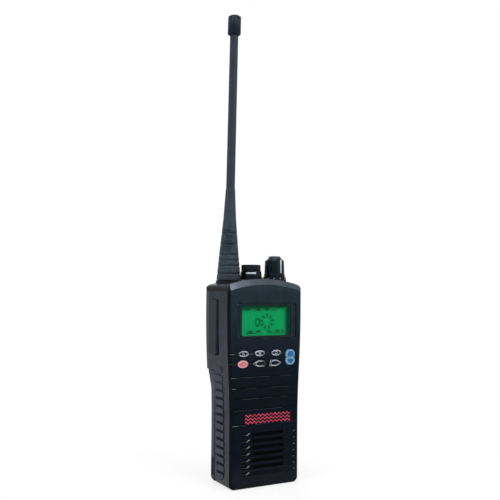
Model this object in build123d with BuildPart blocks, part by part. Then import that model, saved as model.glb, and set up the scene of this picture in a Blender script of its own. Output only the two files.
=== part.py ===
from build123d import *
import math
import os

# Handheld marine VHF radio. Millimetres, +Z up, the front faces -Y, the antenna is on the -X side.
# The origin is the middle of the flat base that the radio stands on.

# ---------------------------------------------------------------- case, seen from the front
head_width = 61.0
waist = 2.5
deck_height = 139.0
head_side_length = 32.0
taper_length = 47.0
taper_blend = 18.6
foot_round = 4.0
shoulder_rise = 4.6
crown_rise = 4.7
shoulder_round = 4.0

# ---------------------------------------------------------------- case, seen from the side
head_depth = 40.0
grip_depth = 34.6
grip_shell_depth = 25.5
head_shell_depth = 32.5
wall = 2.0
front_round = 2.4
back_round = 3.0
bevel_drop = 4.4
bevel_depth = 2.5
back_top_round = 6.0
seat_gap = 0.2
slide_gap = 0.25

# ---------------------------------------------------------------- front panel
lens_side = 6.2
lens_height = 25.0
lens_corner = 1.5
lens_thickness = 0.8
lens_recess = 0.3
lens_gasket = 0.3
view_border = 3.9
view_border_top = 1.6
display_drop = 20.8
display_x = 1.2
display_thickness = 3.2
display_border = 2.6
relief_drops = (9.1, 16.8, 24.1, 32.1, 42.5)
relief_margin = 3.0
relief_groove = 0.9
relief_depth = 0.4
louvre_count = 7
blind_louvres = 1
louvre_pitch = 4.55
louvre_middle = 23.9
louvre_side = 3.8
louvre_height = 2.9
louvre_depth = 0.8
louvre_taper = 35.0
slot_width = 26.0
slot_height = 2.3
mic_side = 7.0
mic_height = 50.2
mic_hole = 0.6

# ---------------------------------------------------------------- keys
key_side_left = 7.4
key_side_right = 6.6
menu_gaps = (4.3, 4.9, 3.8)
arrow_gaps = (2.3, 2.1, 1.9)
menu_row_drop = 23.25
arrow_row_drop = 7.3
menu_key_height = 4.7
red_key_width = 8.1
red_key_height = 5.2
arrow_key_height = 5.4
arrow_tail_height = 4.6
arrow_tail_slant = 1.4
blue_key_width = 7.6
blue_key_height = 5.3
blue_gap = 0.3
blue_shoulder = 0.5
blue_end_width = 4.1
key_corner = 0.8
key_rise = 0.8
key_edge = 0.35
key_gap = 0.2
key_lip = 0.5
key_lip_thickness = 0.7
key_travel = 0.5

# ---------------------------------------------------------------- push-to-talk bar
ptt_drop = 6.0
ptt_pack_gap = 11.6
ptt_front = -2.2
ptt_back = 10.4
ptt_front_gap = 1.2
ptt_rise = 1.4
ptt_corner = 2.5
ptt_travel = 1.2
ptt_stop_gap = 0.1
ptt_seal_thickness = 1.0
ptt_seal_edge = 1.2
ptt_switch_height = 10.0
ptt_switch_length = 4.5
ptt_switch_gap = 0.3

# ---------------------------------------------------------------- ladder grip pads
pad_bottom = 4.6
pad_ptt_gap = 7.0
pad_width = 12.6
pad_foot_y = -4.6
pad_lean = 2.0
pad_recess = 0.9
pad_fit = 0.1
rung_count = 14
rung_pitch = 5.78
rung_height = 3.7
rung_foot_gap = 0.9
rung_rise = 0.9

# ---------------------------------------------------------------- head casting and seal
casting_wall = 2.5
tray_border = 7.0
bed_thickness = 2.0
shelf_thickness = 2.0
cover_seal_thickness = 0.3
cover_seal_width = 1.0
cover_seal_inset = 0.5
fin_count = 5
fin_pitch = 4.0
fin_width = 44.0
fin_groove = 1.6
fin_depth = 0.8
fin_middle_rise = 12.0
screw_radius = 1.2
screw_head_radius = 2.4
screw_head_height = 1.8
screw_length = 11.5
screw_clearance = 0.1
screw_post_radius = 2.8
screw_post_length = 4.0
top_screw_side = 9.5
top_screw_drop = 4.4
low_screw_side = 5.6
low_screw_rise = 4.6
board_post_radius = 2.0
board_post_side = 3.0
board_post_low = 12.0
board_post_drop = 3.0

# ---------------------------------------------------------------- battery pack
pack_height = 81.0
pack_gap = 0.4
pack_shoulder_depth = 38.6
pack_slope_foot = 68.0
pack_lid_thickness = 1.2
pack_side_round = 4.0
cell_room_front = 0.4
cell_width = 20.6
cell_height = 52.0
cell_depth = 5.0
cell_bottom = 8.0
cell_spacing = 21.4
contact_drop = 9.0
contact_spacing = 9.0
contact_width = 3.0
contact_length = 6.0
contact_thickness = 0.7
contact_count = 3
spring_contact_depth = 1.2
grip_rib_count = 6
grip_rib_pitch = 7.0
grip_rib_middle = 36.0
grip_rib_width = 40.0
grip_rib_groove = 1.6
grip_rib_depth = 0.8

# ---------------------------------------------------------------- battery catches
catch_bottom = 5.4
catch_top = 17.8
catch_front_y = 7.9
catch_width = 3.0
catch_length = 3.2
catch_rise = 0.4
catch_notch_pitch = 3.0
catch_notch_count = 4
catch_travel = 1.2

# ---------------------------------------------------------------- top controls
antenna_x = -19.0
antenna_y = 3.5
selector_x = -1.0
volume_side = 11.0
control_y = 2.0
shaft_radius = 3.0
bush_radius = 4.2
bush_wall_gap = 0.15
shaft_running_gap = 0.05
control_body_width = 13.0
control_body_depth = 12.0
control_body_height = 8.0
control_body_play = 0.2
shaft_bottom_room = 1.5
volume_boss_rise = 2.1
volume_boss_radius = 8.6
volume_boss_foot = 10.2
selector_boss_rise = 1.5
selector_boss_radius = 8.8
knob_float = 0.3
volume_ring_radius = 8.0
volume_ring_height = 1.9
volume_radius = 7.7
volume_top_radius = 7.3
volume_body_height = 11.8
volume_shoulder_height = 2.4
volume_cap_radius = 4.9
volume_cap_seat = 1.0
volume_cap_height = 2.2
volume_cap_dome = 0.9
flute_count = 10
flute_radius = 1.35
flute_offset = 8.3
flute_bottom = 1.0
selector_skirt_radius = 8.1
selector_skirt_shoulder = 7.7
selector_skirt_neck = 5.6
selector_skirt_edge = 1.3
selector_skirt_height = 4.4
selector_neck_height = 0.6
selector_disc_radius = 7.3
selector_disc_height = 3.9
selector_disc_roof = 1.3
selector_disc_edge = 0.5
knurl_count = 30
knurl_radius = 0.55
knurl_corners = 4

# ---------------------------------------------------------------- antenna
antenna_boss_radius = 9.4
antenna_seat_drop = 1.1
socket_radius = 4.5
socket_flange_radius = 4.9
socket_flange_height = 2.0
socket_rise = 0.8
stud_radius = 1.8
stud_length = 13.0
stud_grip = 6.0
base_seal_radius = 8.2
base_seal_inner = 5.4
base_seal_thickness = 0.4
boot_radius = 9.0
boot_top_radius = 3.5
boot_height = 68.0
boot_waist_height = 45.0
boot_waist_radius = 4.8
boot_grooves = (4.0, 9.9, 13.9, 18.0, 26.0, 34.0)
boot_groove_width = 0.7
boot_groove_depth = 0.35
whip_socket_depth = 9.0
whip_radius = 3.0
whip_top_radius = 2.85
antenna_height = 347.6
tip_radius = 4.45
tip_height = 16.6
tip_chamfer = 0.9
tip_socket_depth = 4.0

# ---------------------------------------------------------------- pieces inside the case
mat_thickness = 1.0
mat_margin = 1.6
mat_rim = 1.2
board_thickness = 1.6
control_board_side = 3.5
control_board_drop = 6.5
dome_radius = 2.2
dome_height = 0.4
speaker_x = 2.2
speaker_radius = 17.5
speaker_rim_depth = 3.0
speaker_cone_radius = 15.0
speaker_cone_foot = 6.0
speaker_magnet_radius = 10.0
speaker_magnet_depth = 4.5
speaker_basket_depth = 1.5
speaker_cone_depth = 0.75
membrane_thickness = 0.3
membrane_corner = 3.0
mic_radius = 2.5
mic_depth = 3.0
main_board_side = 2.0
main_board_bottom = 9.0
main_board_drop = 12.0
board_gap = 9.4
can_height = 2.6
can_width = 34.0
low_can_bottom = 48.0
low_can_top = 74.0
high_can_drop = 7.0
high_can_length = 34.0

# ---------------------------------------------------------------- accessory port, on the +X side
port_drop = 25.0
port_y = 2.0
port_length = 24.0
port_width = 13.0
port_corner = 3.0
port_cover_thickness = 2.6
port_cover_margin = 2.0
port_cover_round = 0.9
port_insert_depth = 4.0
port_screw_drop = 6.5
port_screw_radius = 1.5
port_screw_head_radius = 4.2
port_screw_head_height = 3.0
port_screw_notches = 12
port_screw_notch = 0.5

# ---------------------------------------------------------------- belt clip
clip_width = 22.0
clip_thickness = 1.8
clip_gap = 5.2
clip_pivot_drop = 13.0
clip_tab_rise = 7.0
clip_reach = 44.0
clip_bump_rise = 6.0
clip_bump_clearance = 0.3
clip_pin_radius = 1.25
clip_pin_gap = 0.05
clip_barrel_radius = 2.4
clip_pivot_out = 5.0
clip_spring_width = 7.0
clip_spring_wire = 0.45
clip_spring_turns = 6
clip_spring_facets = 6
clip_spring_pitch = 0.8
clip_spring_gap = 0.1
clip_ear_width = 3.0
clip_side_gap = 0.3
clip_base_height = 15.0
clip_base_thickness = 1.6
clip_base_drop = 3.8
clip_flare = 2.2
clip_screw_x = 5.5
clip_screw_drop = 4.6
clip_screw_head_radius = 2.0
clip_screw_head_height = 0.8

# ---------------------------------------------------------------- places worked out from the sizes above
front_y = -head_depth / 2
back_y = head_depth / 2
grip_back_y = front_y + grip_depth
grip_seam_y = front_y + grip_shell_depth
head_seam_y = front_y + head_shell_depth
inner_front_y = front_y + wall
grip_width = head_width - 2 * waist
taper_top = deck_height - head_side_length
taper_bottom = taper_top - taper_length
taper_angle = math.atan2(waist, taper_length)
blend_radius = taper_blend / math.tan(taper_angle / 2)
head_floor = pack_height + pack_gap
casting_y = head_seam_y + cover_seal_thickness
shoulder_height = deck_height + shoulder_rise
crown_height = shoulder_height + crown_rise
volume_boss_top = crown_height + volume_boss_rise
selector_boss_top = crown_height + selector_boss_rise
antenna_boss_top = crown_height - antenna_seat_drop
display_height = deck_height - display_drop
menu_row = display_height - menu_row_drop
arrow_row = menu_row - arrow_row_drop
lens_width = head_width - 2 * lens_side
view_width = lens_width - 2 * view_border
view_height = lens_height - 2 * view_border_top
relief_width = grip_width - 2 * relief_margin
louvre_width = grip_width - 2 * (speaker_x + louvre_side)
mic_x = grip_width / 2 - mic_side
volume_x = head_width / 2 - volume_side
ptt_top = deck_height - ptt_drop
ptt_bottom = head_floor + ptt_pack_gap
pad_top = ptt_bottom - pad_ptt_gap
port_height = deck_height - port_drop
top_screw_height = deck_height - top_screw_drop
low_screw_height = head_floor + low_screw_rise
top_screw_x = head_width / 2 - top_screw_side
low_screw_x = head_width / 2 - low_screw_side
control_board_width = head_width - 2 * (wall + control_board_side)
main_board_width = grip_width - 2 * (wall + main_board_side)
board_post_x = main_board_width / 2 - board_post_side
contact_height = pack_height - contact_drop
clip_pivot_height = deck_height - clip_pivot_drop
pack_front_y = grip_seam_y + seat_gap
lens_seat_y = front_y + lens_recess + lens_thickness + lens_gasket
board_y = inner_front_y + display_thickness
main_board_y = board_y + board_thickness + board_gap
key_lip_y = inner_front_y + key_gap / 2
mat_y = key_lip_y + key_lip_thickness + key_travel + key_gap / 2

# the keys share the room between the panel's two side margins
key_left_edge = key_side_left - head_width / 2
blue_left_edge = head_width / 2 - key_side_right - blue_key_width
menu_key_width = (blue_left_edge - key_left_edge - sum(menu_gaps)) / 3
arrow_key_width = (blue_left_edge - key_left_edge - red_key_width - sum(arrow_gaps)) / 2
menu_1_x = key_left_edge + menu_key_width / 2
menu_2_x = menu_1_x + menu_key_width + menu_gaps[0]
menu_3_x = menu_2_x + menu_key_width + menu_gaps[1]
red_x = key_left_edge + red_key_width / 2
left_arrow_x = key_left_edge + red_key_width + arrow_gaps[0] + arrow_key_width / 2
right_arrow_x = left_arrow_x + arrow_key_width + arrow_gaps[1]
blue_x = blue_left_edge + blue_key_width / 2


def front_plane(y):
    """Upright plane at depth y. A positive extrusion from it runs towards the front."""
    return Plane.XZ.offset(-y)


def side_plane(x):
    """Upright plane at x. Its own axes run back (+Y) and up (+Z), and it faces +X."""
    return Plane.YZ.offset(x)


def control_plane(x, y):
    """Upright plane through a control's axis, seen from the front."""
    return Plane(origin=(x, y, 0), x_dir=(1, 0, 0), z_dir=(0, -1, 0))


def control_axis(x, y):
    return Axis((x, y, 0), (0, 0, 1))


def case_outline(y, inset=0.0, low=0.0):
    """The case seen from the front, at depth y, drawn in by an inset and cut off below a height."""
    grip = grip_width / 2
    head = head_width / 2
    with BuildSketch(front_plane(y)) as outline:
        with BuildLine():
            Polyline(
                (-grip, 0), (grip, 0), (grip, taper_bottom), (head, taper_top), (head, deck_height),
                (-head, deck_height), (-head, taper_top), (-grip, taper_bottom), close=True,
            )
        make_face()
        fillet(outline.vertices().group_by(Axis.Y)[0], foot_round)
        fillet(outline.vertices().filter_by_position(Axis.Y, taper_bottom, taper_top), blend_radius)
        if inset != 0:
            offset(amount=-inset)
        if low > 0:
            with Locations((0, (low + deck_height) / 2)):
                Rectangle(head_width, deck_height - low, mode=Mode.INTERSECT)
    return outline.sketch


def case_block(near_y, far_y, inset=0.0, low=0.0, mode=Mode.ADD):
    """Block with the case's outline between two depths."""
    extrude(case_outline(far_y, inset, low), amount=far_y - near_y, mode=mode)


def round_back_edges(part, radius):
    """Round the back edges of a case part, but not the one under the top cap."""
    back_face = part.faces().sort_by(Axis.Y)[-1]
    fillet(back_face.edges().filter_by(lambda edge: edge.center().Z < deck_height - radius), radius)


def pad_outline(x, grow=0.0):
    """Outline of the ladder pad on the side plane at x: a tall slot that leans back."""
    middle = (pad_bottom + pad_top) / 2
    middle_y = pad_foot_y + math.tan(math.radians(pad_lean)) * (middle - pad_bottom)
    with BuildSketch(side_plane(x)) as outline:
        with Locations((middle_y, middle)):
            SlotOverall(pad_top - pad_bottom + 2 * grow, pad_width + 2 * grow, rotation=90 - pad_lean)
    return outline.sketch


def side_layer_part(draw, outer_inset, inner_inset):
    """Layer of the case's -X side between two insets, inside the outline that draw makes."""
    with BuildPart() as layer:
        case_block(front_y, head_seam_y, inset=outer_inset)
        case_block(front_y, head_seam_y, inset=inner_inset, mode=Mode.SUBTRACT)
        extrude(draw(-head_width), amount=head_width, mode=Mode.INTERSECT)
    return layer.part


def ptt_outline(x, grow=0.0, front_grow=0.0):
    """Outline of the push-to-talk bar on the side plane at x, grown all round and at its front."""
    width = ptt_back - ptt_front + 2 * grow + front_grow
    with BuildSketch(side_plane(x)) as outline:
        with Locations(((ptt_back + ptt_front - front_grow) / 2, (ptt_bottom + ptt_top) / 2)):
            RectangleRounded(width, ptt_top - ptt_bottom + 2 * grow, ptt_corner)
    return outline.sketch


def arrow_points(side):
    """Corner points of an arrow key whose tip points to one side (-1 or 1), with a slanted tail."""
    tip = side * arrow_key_width / 2
    high = arrow_key_height / 2
    tail = arrow_tail_height / 2
    slant = side * arrow_tail_slant
    return [(tip, 0), (0, high), (slant - tip, tail), (-tip, -tail), (0, -high)]


def blue_points(side):
    """Corner points of a blue key that narrows upwards (1) or downwards (-1)."""
    wide = blue_key_width / 2
    end = blue_end_width / 2
    high = side * blue_key_height / 2
    shoulder = side * blue_shoulder
    return [(-wide, -high), (wide, -high), (wide, shoulder), (end, high), (-end, high), (-wide, shoulder)]


def oval_key(width, height):
    """Drawing of an oval key, grown all round."""
    return lambda grow: Ellipse(width / 2 + grow, height / 2 + grow)


def cornered_key(points):
    """Drawing of a key with rounded corners, grown all round."""
    def draw(grow):
        face = Polygon(*points, align=None)
        fillet(face.vertices(), key_corner)
        if grow > 0:
            offset(amount=grow)
    return draw


blue_middle = (menu_row + arrow_row) / 2
blue_step = (blue_key_height + blue_gap) / 2
menu_key = oval_key(menu_key_width, menu_key_height)
keys = {
    "key_menu_1": (menu_1_x, menu_row, menu_key),
    "key_menu_2": (menu_2_x, menu_row, menu_key),
    "key_menu_3": (menu_3_x, menu_row, menu_key),
    "key_red": (red_x, arrow_row, oval_key(red_key_width, red_key_height)),
    "key_left": (left_arrow_x, arrow_row, cornered_key(arrow_points(-1))),
    "key_right": (right_arrow_x, arrow_row, cornered_key(arrow_points(1))),
    "key_up": (blue_x, blue_middle + blue_step, cornered_key(blue_points(1))),
    "key_down": (blue_x, blue_middle - blue_step, cornered_key(blue_points(-1))),
}


def key_outline(name, y, grow=0.0):
    """Outline of a key at depth y, in its place on the front panel, grown all round."""
    x, height, draw = keys[name]
    with BuildSketch(front_plane(y) * Location((x, height, 0))) as outline:
        draw(grow)
    return outline.sketch


case_screw_spots = [
    (-top_screw_x, top_screw_height), (top_screw_x, top_screw_height),
    (-low_screw_x, low_screw_height), (low_screw_x, low_screw_height),
]
board_post_spots = [
    (side * board_post_x, height) for side in (-1, 1)
    for height in (board_post_low, pack_height - board_post_drop)
]
relief_spots = [(0, arrow_row - drop) for drop in relief_drops]
pack_rib_spots = [
    (0, grip_rib_middle + grip_rib_pitch * (row - (grip_rib_count - 1) / 2)) for row in range(grip_rib_count)
]
fin_spots = [
    (0, head_floor + fin_middle_rise + fin_pitch * (row - (fin_count - 1) / 2)) for row in range(fin_count)
]
clip_screw_spots = [(side * clip_screw_x, clip_pivot_height - clip_screw_drop) for side in (-1, 1)]
contact_spots = [
    (contact_spacing * (place - (contact_count - 1) / 2), contact_height) for place in range(contact_count)
]


def keep(piece, name):
    """Label a finished piece and write its STEP file."""
    piece.part.label = name
    export_step(piece.part, f"parts/{name}.step")


os.makedirs("parts", exist_ok=True)

# ---------------------------------------------------------------- front shell
# One moulding: the front face, both sides and the base, open at the back.
pad_pocket = side_layer_part(lambda x: pad_outline(x, grow=pad_fit), -rung_rise, pad_recess)
pad_pocket_right = mirror(pad_pocket, about=Plane.YZ)
with BuildPart() as front_shell:
    case_block(front_y, grip_seam_y)
    case_block(grip_seam_y, head_seam_y, low=head_floor)
    front_face = front_shell.faces().sort_by(Axis.Y)[0]
    fillet(front_face.edges().filter_by(lambda edge: edge.center().Z < deck_height - wall), front_round)
    case_block(inner_front_y, grip_seam_y, inset=wall, mode=Mode.SUBTRACT)
    case_block(grip_seam_y, head_seam_y, inset=wall, low=head_floor + wall, mode=Mode.SUBTRACT)

    # posts for the screws that pull the back casting on
    with BuildSketch(front_plane(head_seam_y)):
        with Locations(*case_screw_spots):
            Circle(screw_post_radius)
    extrude(amount=screw_post_length)
    with BuildSketch(front_plane(head_seam_y)):
        with Locations(*case_screw_spots):
            Circle(screw_radius)
    extrude(amount=screw_post_length, mode=Mode.SUBTRACT)

    # rebate and opening for the display window
    with BuildSketch(front_plane(lens_seat_y) * Location((display_x, display_height, 0))):
        RectangleRounded(lens_width + 2 * slide_gap, lens_height + 2 * slide_gap, lens_corner)
    extrude(amount=lens_seat_y - front_y, mode=Mode.SUBTRACT)
    with BuildSketch(front_plane(inner_front_y) * Location((display_x, display_height, 0))):
        RectangleRounded(view_width, view_height, lens_corner)
    extrude(amount=wall, mode=Mode.SUBTRACT)

    # key openings
    for key_name in keys:
        extrude(key_outline(key_name, inner_front_y, grow=key_gap), amount=wall, mode=Mode.SUBTRACT)

    # thin relief grooves across the face
    with BuildSketch(front_plane(front_y)):
        with Locations(*relief_spots):
            SlotOverall(relief_width, relief_groove)
    extrude(amount=-relief_depth, taper=louvre_taper, mode=Mode.SUBTRACT)

    # speaker grille: sloped louvres with a through slot along the middle of all but the lowest
    with BuildSketch(front_plane(front_y) * Location((speaker_x, louvre_middle, 0))):
        with GridLocations(0, louvre_pitch, 1, louvre_count):
            SlotOverall(louvre_width, louvre_height)
    extrude(amount=-louvre_depth, taper=louvre_taper, mode=Mode.SUBTRACT)
    slot_middle = louvre_middle + blind_louvres * louvre_pitch / 2
    with BuildSketch(front_plane(inner_front_y) * Location((speaker_x, slot_middle, 0))):
        with GridLocations(0, louvre_pitch, 1, louvre_count - blind_louvres):
            SlotOverall(slot_width, slot_height)
    extrude(amount=wall, mode=Mode.SUBTRACT)
    with BuildSketch(front_plane(inner_front_y) * Location((mic_x, mic_height, 0))):
        Circle(mic_hole)
    extrude(amount=wall, mode=Mode.SUBTRACT)

    # push-to-talk opening in the -X side, accessory opening in the +X side
    ptt_opening = ptt_outline(-head_width, grow=slide_gap, front_grow=ptt_front_gap)
    extrude(ptt_opening, amount=head_width / 2 + 2 * wall, mode=Mode.SUBTRACT)
    with BuildSketch(side_plane(head_width / 2 - 2 * wall) * Location((port_y, port_height, 0))):
        RectangleRounded(port_width, port_length, port_corner)
    extrude(amount=head_width / 2, mode=Mode.SUBTRACT)

    # holes in the top wall for the two bushes and the antenna socket
    with BuildSketch(Plane.XY.offset(deck_height)):
        with Locations((selector_x, control_y), (volume_x, control_y)):
            Circle(bush_radius + bush_wall_gap)
        with Locations((antenna_x, antenna_y)):
            Circle(socket_radius + bush_wall_gap)
    extrude(amount=-wall, mode=Mode.SUBTRACT)

    # shallow pockets for the two ladder pads
    add(pad_pocket, mode=Mode.SUBTRACT)
    add(pad_pocket_right, mode=Mode.SUBTRACT)
keep(front_shell, "front_shell")

# ---------------------------------------------------------------- top cap
# Solid moulding over the whole head, arched across and bevelled at the front.
with BuildPart() as top_cap:
    with BuildSketch(Plane.XY.offset(deck_height)) as plan:
        Rectangle(head_width, head_depth)
        fillet(plan.vertices().group_by(Axis.Y)[0], front_round)
        fillet(plan.vertices().group_by(Axis.Y)[-1], back_round)
    extrude(amount=crown_height - deck_height)
    half = head_width / 2
    with BuildSketch(front_plane(back_y)) as arch:
        with BuildLine():
            Polyline(
                (-half, shoulder_height), (-half, deck_height), (half, deck_height), (half, shoulder_height),
            )
            ThreePointArc((half, shoulder_height), (0, crown_height), (-half, shoulder_height))
        make_face()
        fillet(arch.vertices().group_by(Axis.Y)[-1], shoulder_round)
    extrude(amount=head_depth, mode=Mode.INTERSECT)

    # the front bevel and the round back edge follow the arch: one profile turned about the arch's axis
    with BuildSketch(side_plane(0)) as profile:
        with BuildLine():
            Polyline(
                (front_y, deck_height), (back_y, deck_height), (back_y, crown_height),
                (front_y + bevel_depth, crown_height), (front_y, crown_height - bevel_drop), close=True,
            )
        make_face()
        fillet(profile.vertices().sort_by(Axis.X)[-2:].sort_by(Axis.Y)[-1], back_top_round)
    arch_radius = (half ** 2 + crown_rise ** 2) / (2 * crown_rise)
    revolve(axis=Axis((0, 0, crown_height - arch_radius), (0, 1, 0)), mode=Mode.INTERSECT)

    # bosses under the three controls
    with Locations((volume_x, control_y, deck_height)):
        Cone(volume_boss_foot, volume_boss_radius, volume_boss_top - deck_height,
             align=(Align.CENTER, Align.CENTER, Align.MIN))
    with BuildSketch(Plane.XY.offset(deck_height)):
        with Locations((selector_x, control_y)):
            Circle(selector_boss_radius)
    extrude(amount=selector_boss_top - deck_height)
    with BuildSketch(Plane.XY.offset(deck_height)):
        with Locations((antenna_x, antenna_y)):
            Circle(antenna_boss_radius)
    extrude(amount=antenna_boss_top - deck_height)

    # flat seat for the antenna, cut into the arch
    with BuildSketch(Plane.XY.offset(antenna_boss_top)):
        with Locations((antenna_x, antenna_y)):
            Circle(antenna_boss_radius)
    extrude(amount=crown_height - deck_height, mode=Mode.SUBTRACT)

    # bores for the bushes and the socket, whose flange sits under the cap
    with BuildSketch(Plane.XY.offset(deck_height)):
        with Locations((selector_x, control_y), (volume_x, control_y)):
            Circle(bush_radius + bush_wall_gap)
        with Locations((antenna_x, antenna_y)):
            Circle(socket_radius)
    extrude(amount=volume_boss_top - deck_height, mode=Mode.SUBTRACT)
keep(top_cap, "top_cap")

# ---------------------------------------------------------------- back casting
# Bed behind the grip, shelf over the pack and a deep tray behind the head, in one casting.
casting_screw_radius = screw_radius + screw_clearance
with BuildPart() as back_casting:
    case_block(casting_y, back_y, low=head_floor)
    round_back_edges(back_casting, back_round)
    case_block(casting_y, back_y - casting_wall, inset=tray_border, low=head_floor + tray_border,
               mode=Mode.SUBTRACT)
    with BuildSketch(front_plane(casting_y)):
        with Locations((0, head_floor + wall + seat_gap + shelf_thickness / 2)):
            Rectangle(2 * (low_screw_x - screw_post_radius - casting_wall), shelf_thickness)
    extrude(amount=casting_y - grip_seam_y + bed_thickness)
    case_block(grip_seam_y - bed_thickness, grip_seam_y, inset=wall + seat_gap)
    with BuildSketch(front_plane(grip_seam_y)):
        with Locations((0, head_floor + wall + shelf_thickness + seat_gap + deck_height / 2)):
            Rectangle(head_width, deck_height)
    extrude(amount=bed_thickness, mode=Mode.SUBTRACT)

    # posts that carry the main board
    with BuildSketch(front_plane(grip_seam_y - bed_thickness)):
        with Locations(*board_post_spots):
            Circle(board_post_radius)
    extrude(amount=grip_seam_y - bed_thickness - main_board_y - board_thickness)

    # screw holes with counterbores, then cooling grooves across the back
    with BuildSketch(front_plane(back_y)):
        with Locations(*case_screw_spots):
            Circle(casting_screw_radius)
    extrude(amount=back_y - casting_y, mode=Mode.SUBTRACT)
    with BuildSketch(front_plane(back_y)):
        with Locations(*case_screw_spots):
            Circle(screw_head_radius + screw_clearance)
    extrude(amount=screw_head_height, mode=Mode.SUBTRACT)
    with BuildSketch(front_plane(back_y)):
        with Locations(*fin_spots):
            SlotOverall(fin_width, fin_groove)
    extrude(amount=fin_depth, mode=Mode.SUBTRACT)

    # pockets in the bed for the spring contacts
    with BuildSketch(front_plane(grip_seam_y)):
        with Locations(*contact_spots):
            Rectangle(contact_width, contact_length)
    extrude(amount=spring_contact_depth - seat_gap, mode=Mode.SUBTRACT)

    # tapped holes for the belt clip's bracket
    with BuildSketch(front_plane(back_y)):
        with Locations(*clip_screw_spots):
            Circle(screw_radius)
    extrude(amount=casting_wall, mode=Mode.SUBTRACT)
keep(back_casting, "back_casting")

with BuildPart() as cover_seal:
    case_block(head_seam_y, casting_y, inset=cover_seal_inset, low=head_floor + cover_seal_inset)
    case_block(head_seam_y, casting_y, inset=cover_seal_inset + cover_seal_width,
               low=head_floor + cover_seal_inset + cover_seal_width, mode=Mode.SUBTRACT)
keep(cover_seal, "cover_seal")

with BuildPart() as case_screws:
    with BuildSketch(front_plane(back_y)):
        with Locations(*case_screw_spots):
            Circle(screw_head_radius)
    extrude(amount=screw_head_height)
    with BuildSketch(front_plane(back_y)):
        with Locations(*case_screw_spots):
            Circle(screw_radius)
    extrude(amount=screw_length)
keep(case_screws, "case_screws")

# ---------------------------------------------------------------- battery pack
cell_room_y = pack_front_y + pack_lid_thickness
catch_middle = (catch_bottom + catch_top) / 2
with BuildPart() as battery_case:
    case_block(cell_room_y, back_y)
    with BuildSketch(side_plane(-head_width / 2)):
        with BuildLine():
            Polyline(
                (cell_room_y, 0), (grip_back_y, 0), (grip_back_y, pack_slope_foot),
                (front_y + pack_shoulder_depth, pack_height), (cell_room_y, pack_height), close=True,
            )
        make_face()
    extrude(amount=head_width, mode=Mode.INTERSECT)
    back_edges = battery_case.edges().filter_by(lambda edge: edge.center().Y > grip_back_y - slide_gap)
    fillet(back_edges.filter_by(lambda edge: abs(edge.center().X) > cell_width), pack_side_round)
    with BuildSketch(front_plane(cell_room_y + cell_depth + cell_room_front)):
        with Locations((0, cell_bottom + cell_height / 2)):
            Rectangle(cell_spacing + cell_width + 2 * slide_gap, cell_height + 2 * slide_gap)
    extrude(amount=cell_depth + cell_room_front, mode=Mode.SUBTRACT)
    with BuildSketch(front_plane(grip_back_y)):
        with Locations(*pack_rib_spots):
            SlotOverall(grip_rib_width, grip_rib_groove)
    extrude(amount=grip_rib_depth, mode=Mode.SUBTRACT)
    catch_room = 2 * (catch_length + catch_travel + slide_gap)
    with BuildSketch(front_plane(catch_front_y + catch_width + slide_gap)):
        with Locations((-grip_width / 2, catch_middle), (grip_width / 2, catch_middle)):
            Rectangle(catch_room, catch_top - catch_bottom + 2 * slide_gap)
    extrude(amount=catch_width + 2 * slide_gap, mode=Mode.SUBTRACT)
keep(battery_case, "battery_case")

with BuildPart() as battery_lid:
    case_block(pack_front_y, cell_room_y)
    with BuildSketch(front_plane(cell_room_y)):
        with Locations((0, pack_height + deck_height / 2)):
            Rectangle(head_width, deck_height)
    extrude(amount=pack_lid_thickness, mode=Mode.SUBTRACT)
    with BuildSketch(front_plane(pack_front_y + contact_thickness)):
        with Locations(*contact_spots):
            Rectangle(contact_width, contact_length)
    extrude(amount=contact_thickness, mode=Mode.SUBTRACT)
keep(battery_lid, "battery_lid")

with BuildPart() as battery_cells:
    with BuildSketch(front_plane(cell_room_y + cell_depth)):
        with Locations((-cell_spacing / 2, cell_bottom + cell_height / 2),
                       (cell_spacing / 2, cell_bottom + cell_height / 2)):
            RectangleRounded(cell_width, cell_height, lens_corner)
    extrude(amount=cell_depth)
keep(battery_cells, "battery_cells")

with BuildPart() as battery_contacts:
    with BuildSketch(front_plane(pack_front_y + contact_thickness)):
        with Locations(*contact_spots):
            Rectangle(contact_width, contact_length)
    extrude(amount=contact_thickness)
keep(battery_contacts, "battery_contacts")

with BuildPart() as spring_contacts:
    with BuildSketch(front_plane(pack_front_y)):
        with Locations(*contact_spots):
            Rectangle(contact_width, contact_length)
    extrude(amount=spring_contact_depth)
keep(spring_contacts, "spring_contacts")

# ---------------------------------------------------------------- battery catches
# A press button low on each side of the pack, flush with the case's rounded outline.
for side, catch_name in ((-1, "catch_left"), (1, "catch_right")):
    outer_x = side * (grip_width / 2 + catch_rise)
    with BuildPart() as catch:
        with BuildSketch(front_plane(catch_front_y + catch_width)):
            with Locations((outer_x - side * (catch_length + catch_rise) / 2, catch_middle)):
                Rectangle(catch_length + catch_rise, catch_top - catch_bottom)
        extrude(amount=catch_width)
        outer_face = catch.faces().sort_by(Axis.X)[-1 if side > 0 else 0]
        fillet(outer_face.edges(), catch_rise)
        with BuildSketch(front_plane(catch_front_y)):
            with Locations((outer_x, catch_middle)):
                with GridLocations(0, catch_notch_pitch, 1, catch_notch_count):
                    Circle(catch_rise)
        extrude(amount=-catch_width, mode=Mode.SUBTRACT)
    keep(catch, catch_name)

# ---------------------------------------------------------------- display
with BuildPart() as display_window:
    lens_back_y = front_y + lens_recess + lens_thickness
    with BuildSketch(front_plane(lens_back_y) * Location((display_x, display_height, 0))):
        RectangleRounded(lens_width, lens_height, lens_corner)
    extrude(amount=lens_thickness)
keep(display_window, "display_window")

with BuildPart() as display_gasket:
    with BuildSketch(front_plane(lens_seat_y) * Location((display_x, display_height, 0))):
        RectangleRounded(lens_width, lens_height, lens_corner)
        RectangleRounded(view_width, view_height, lens_corner, mode=Mode.SUBTRACT)
    extrude(amount=lens_gasket)
keep(display_gasket, "display_gasket")

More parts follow.
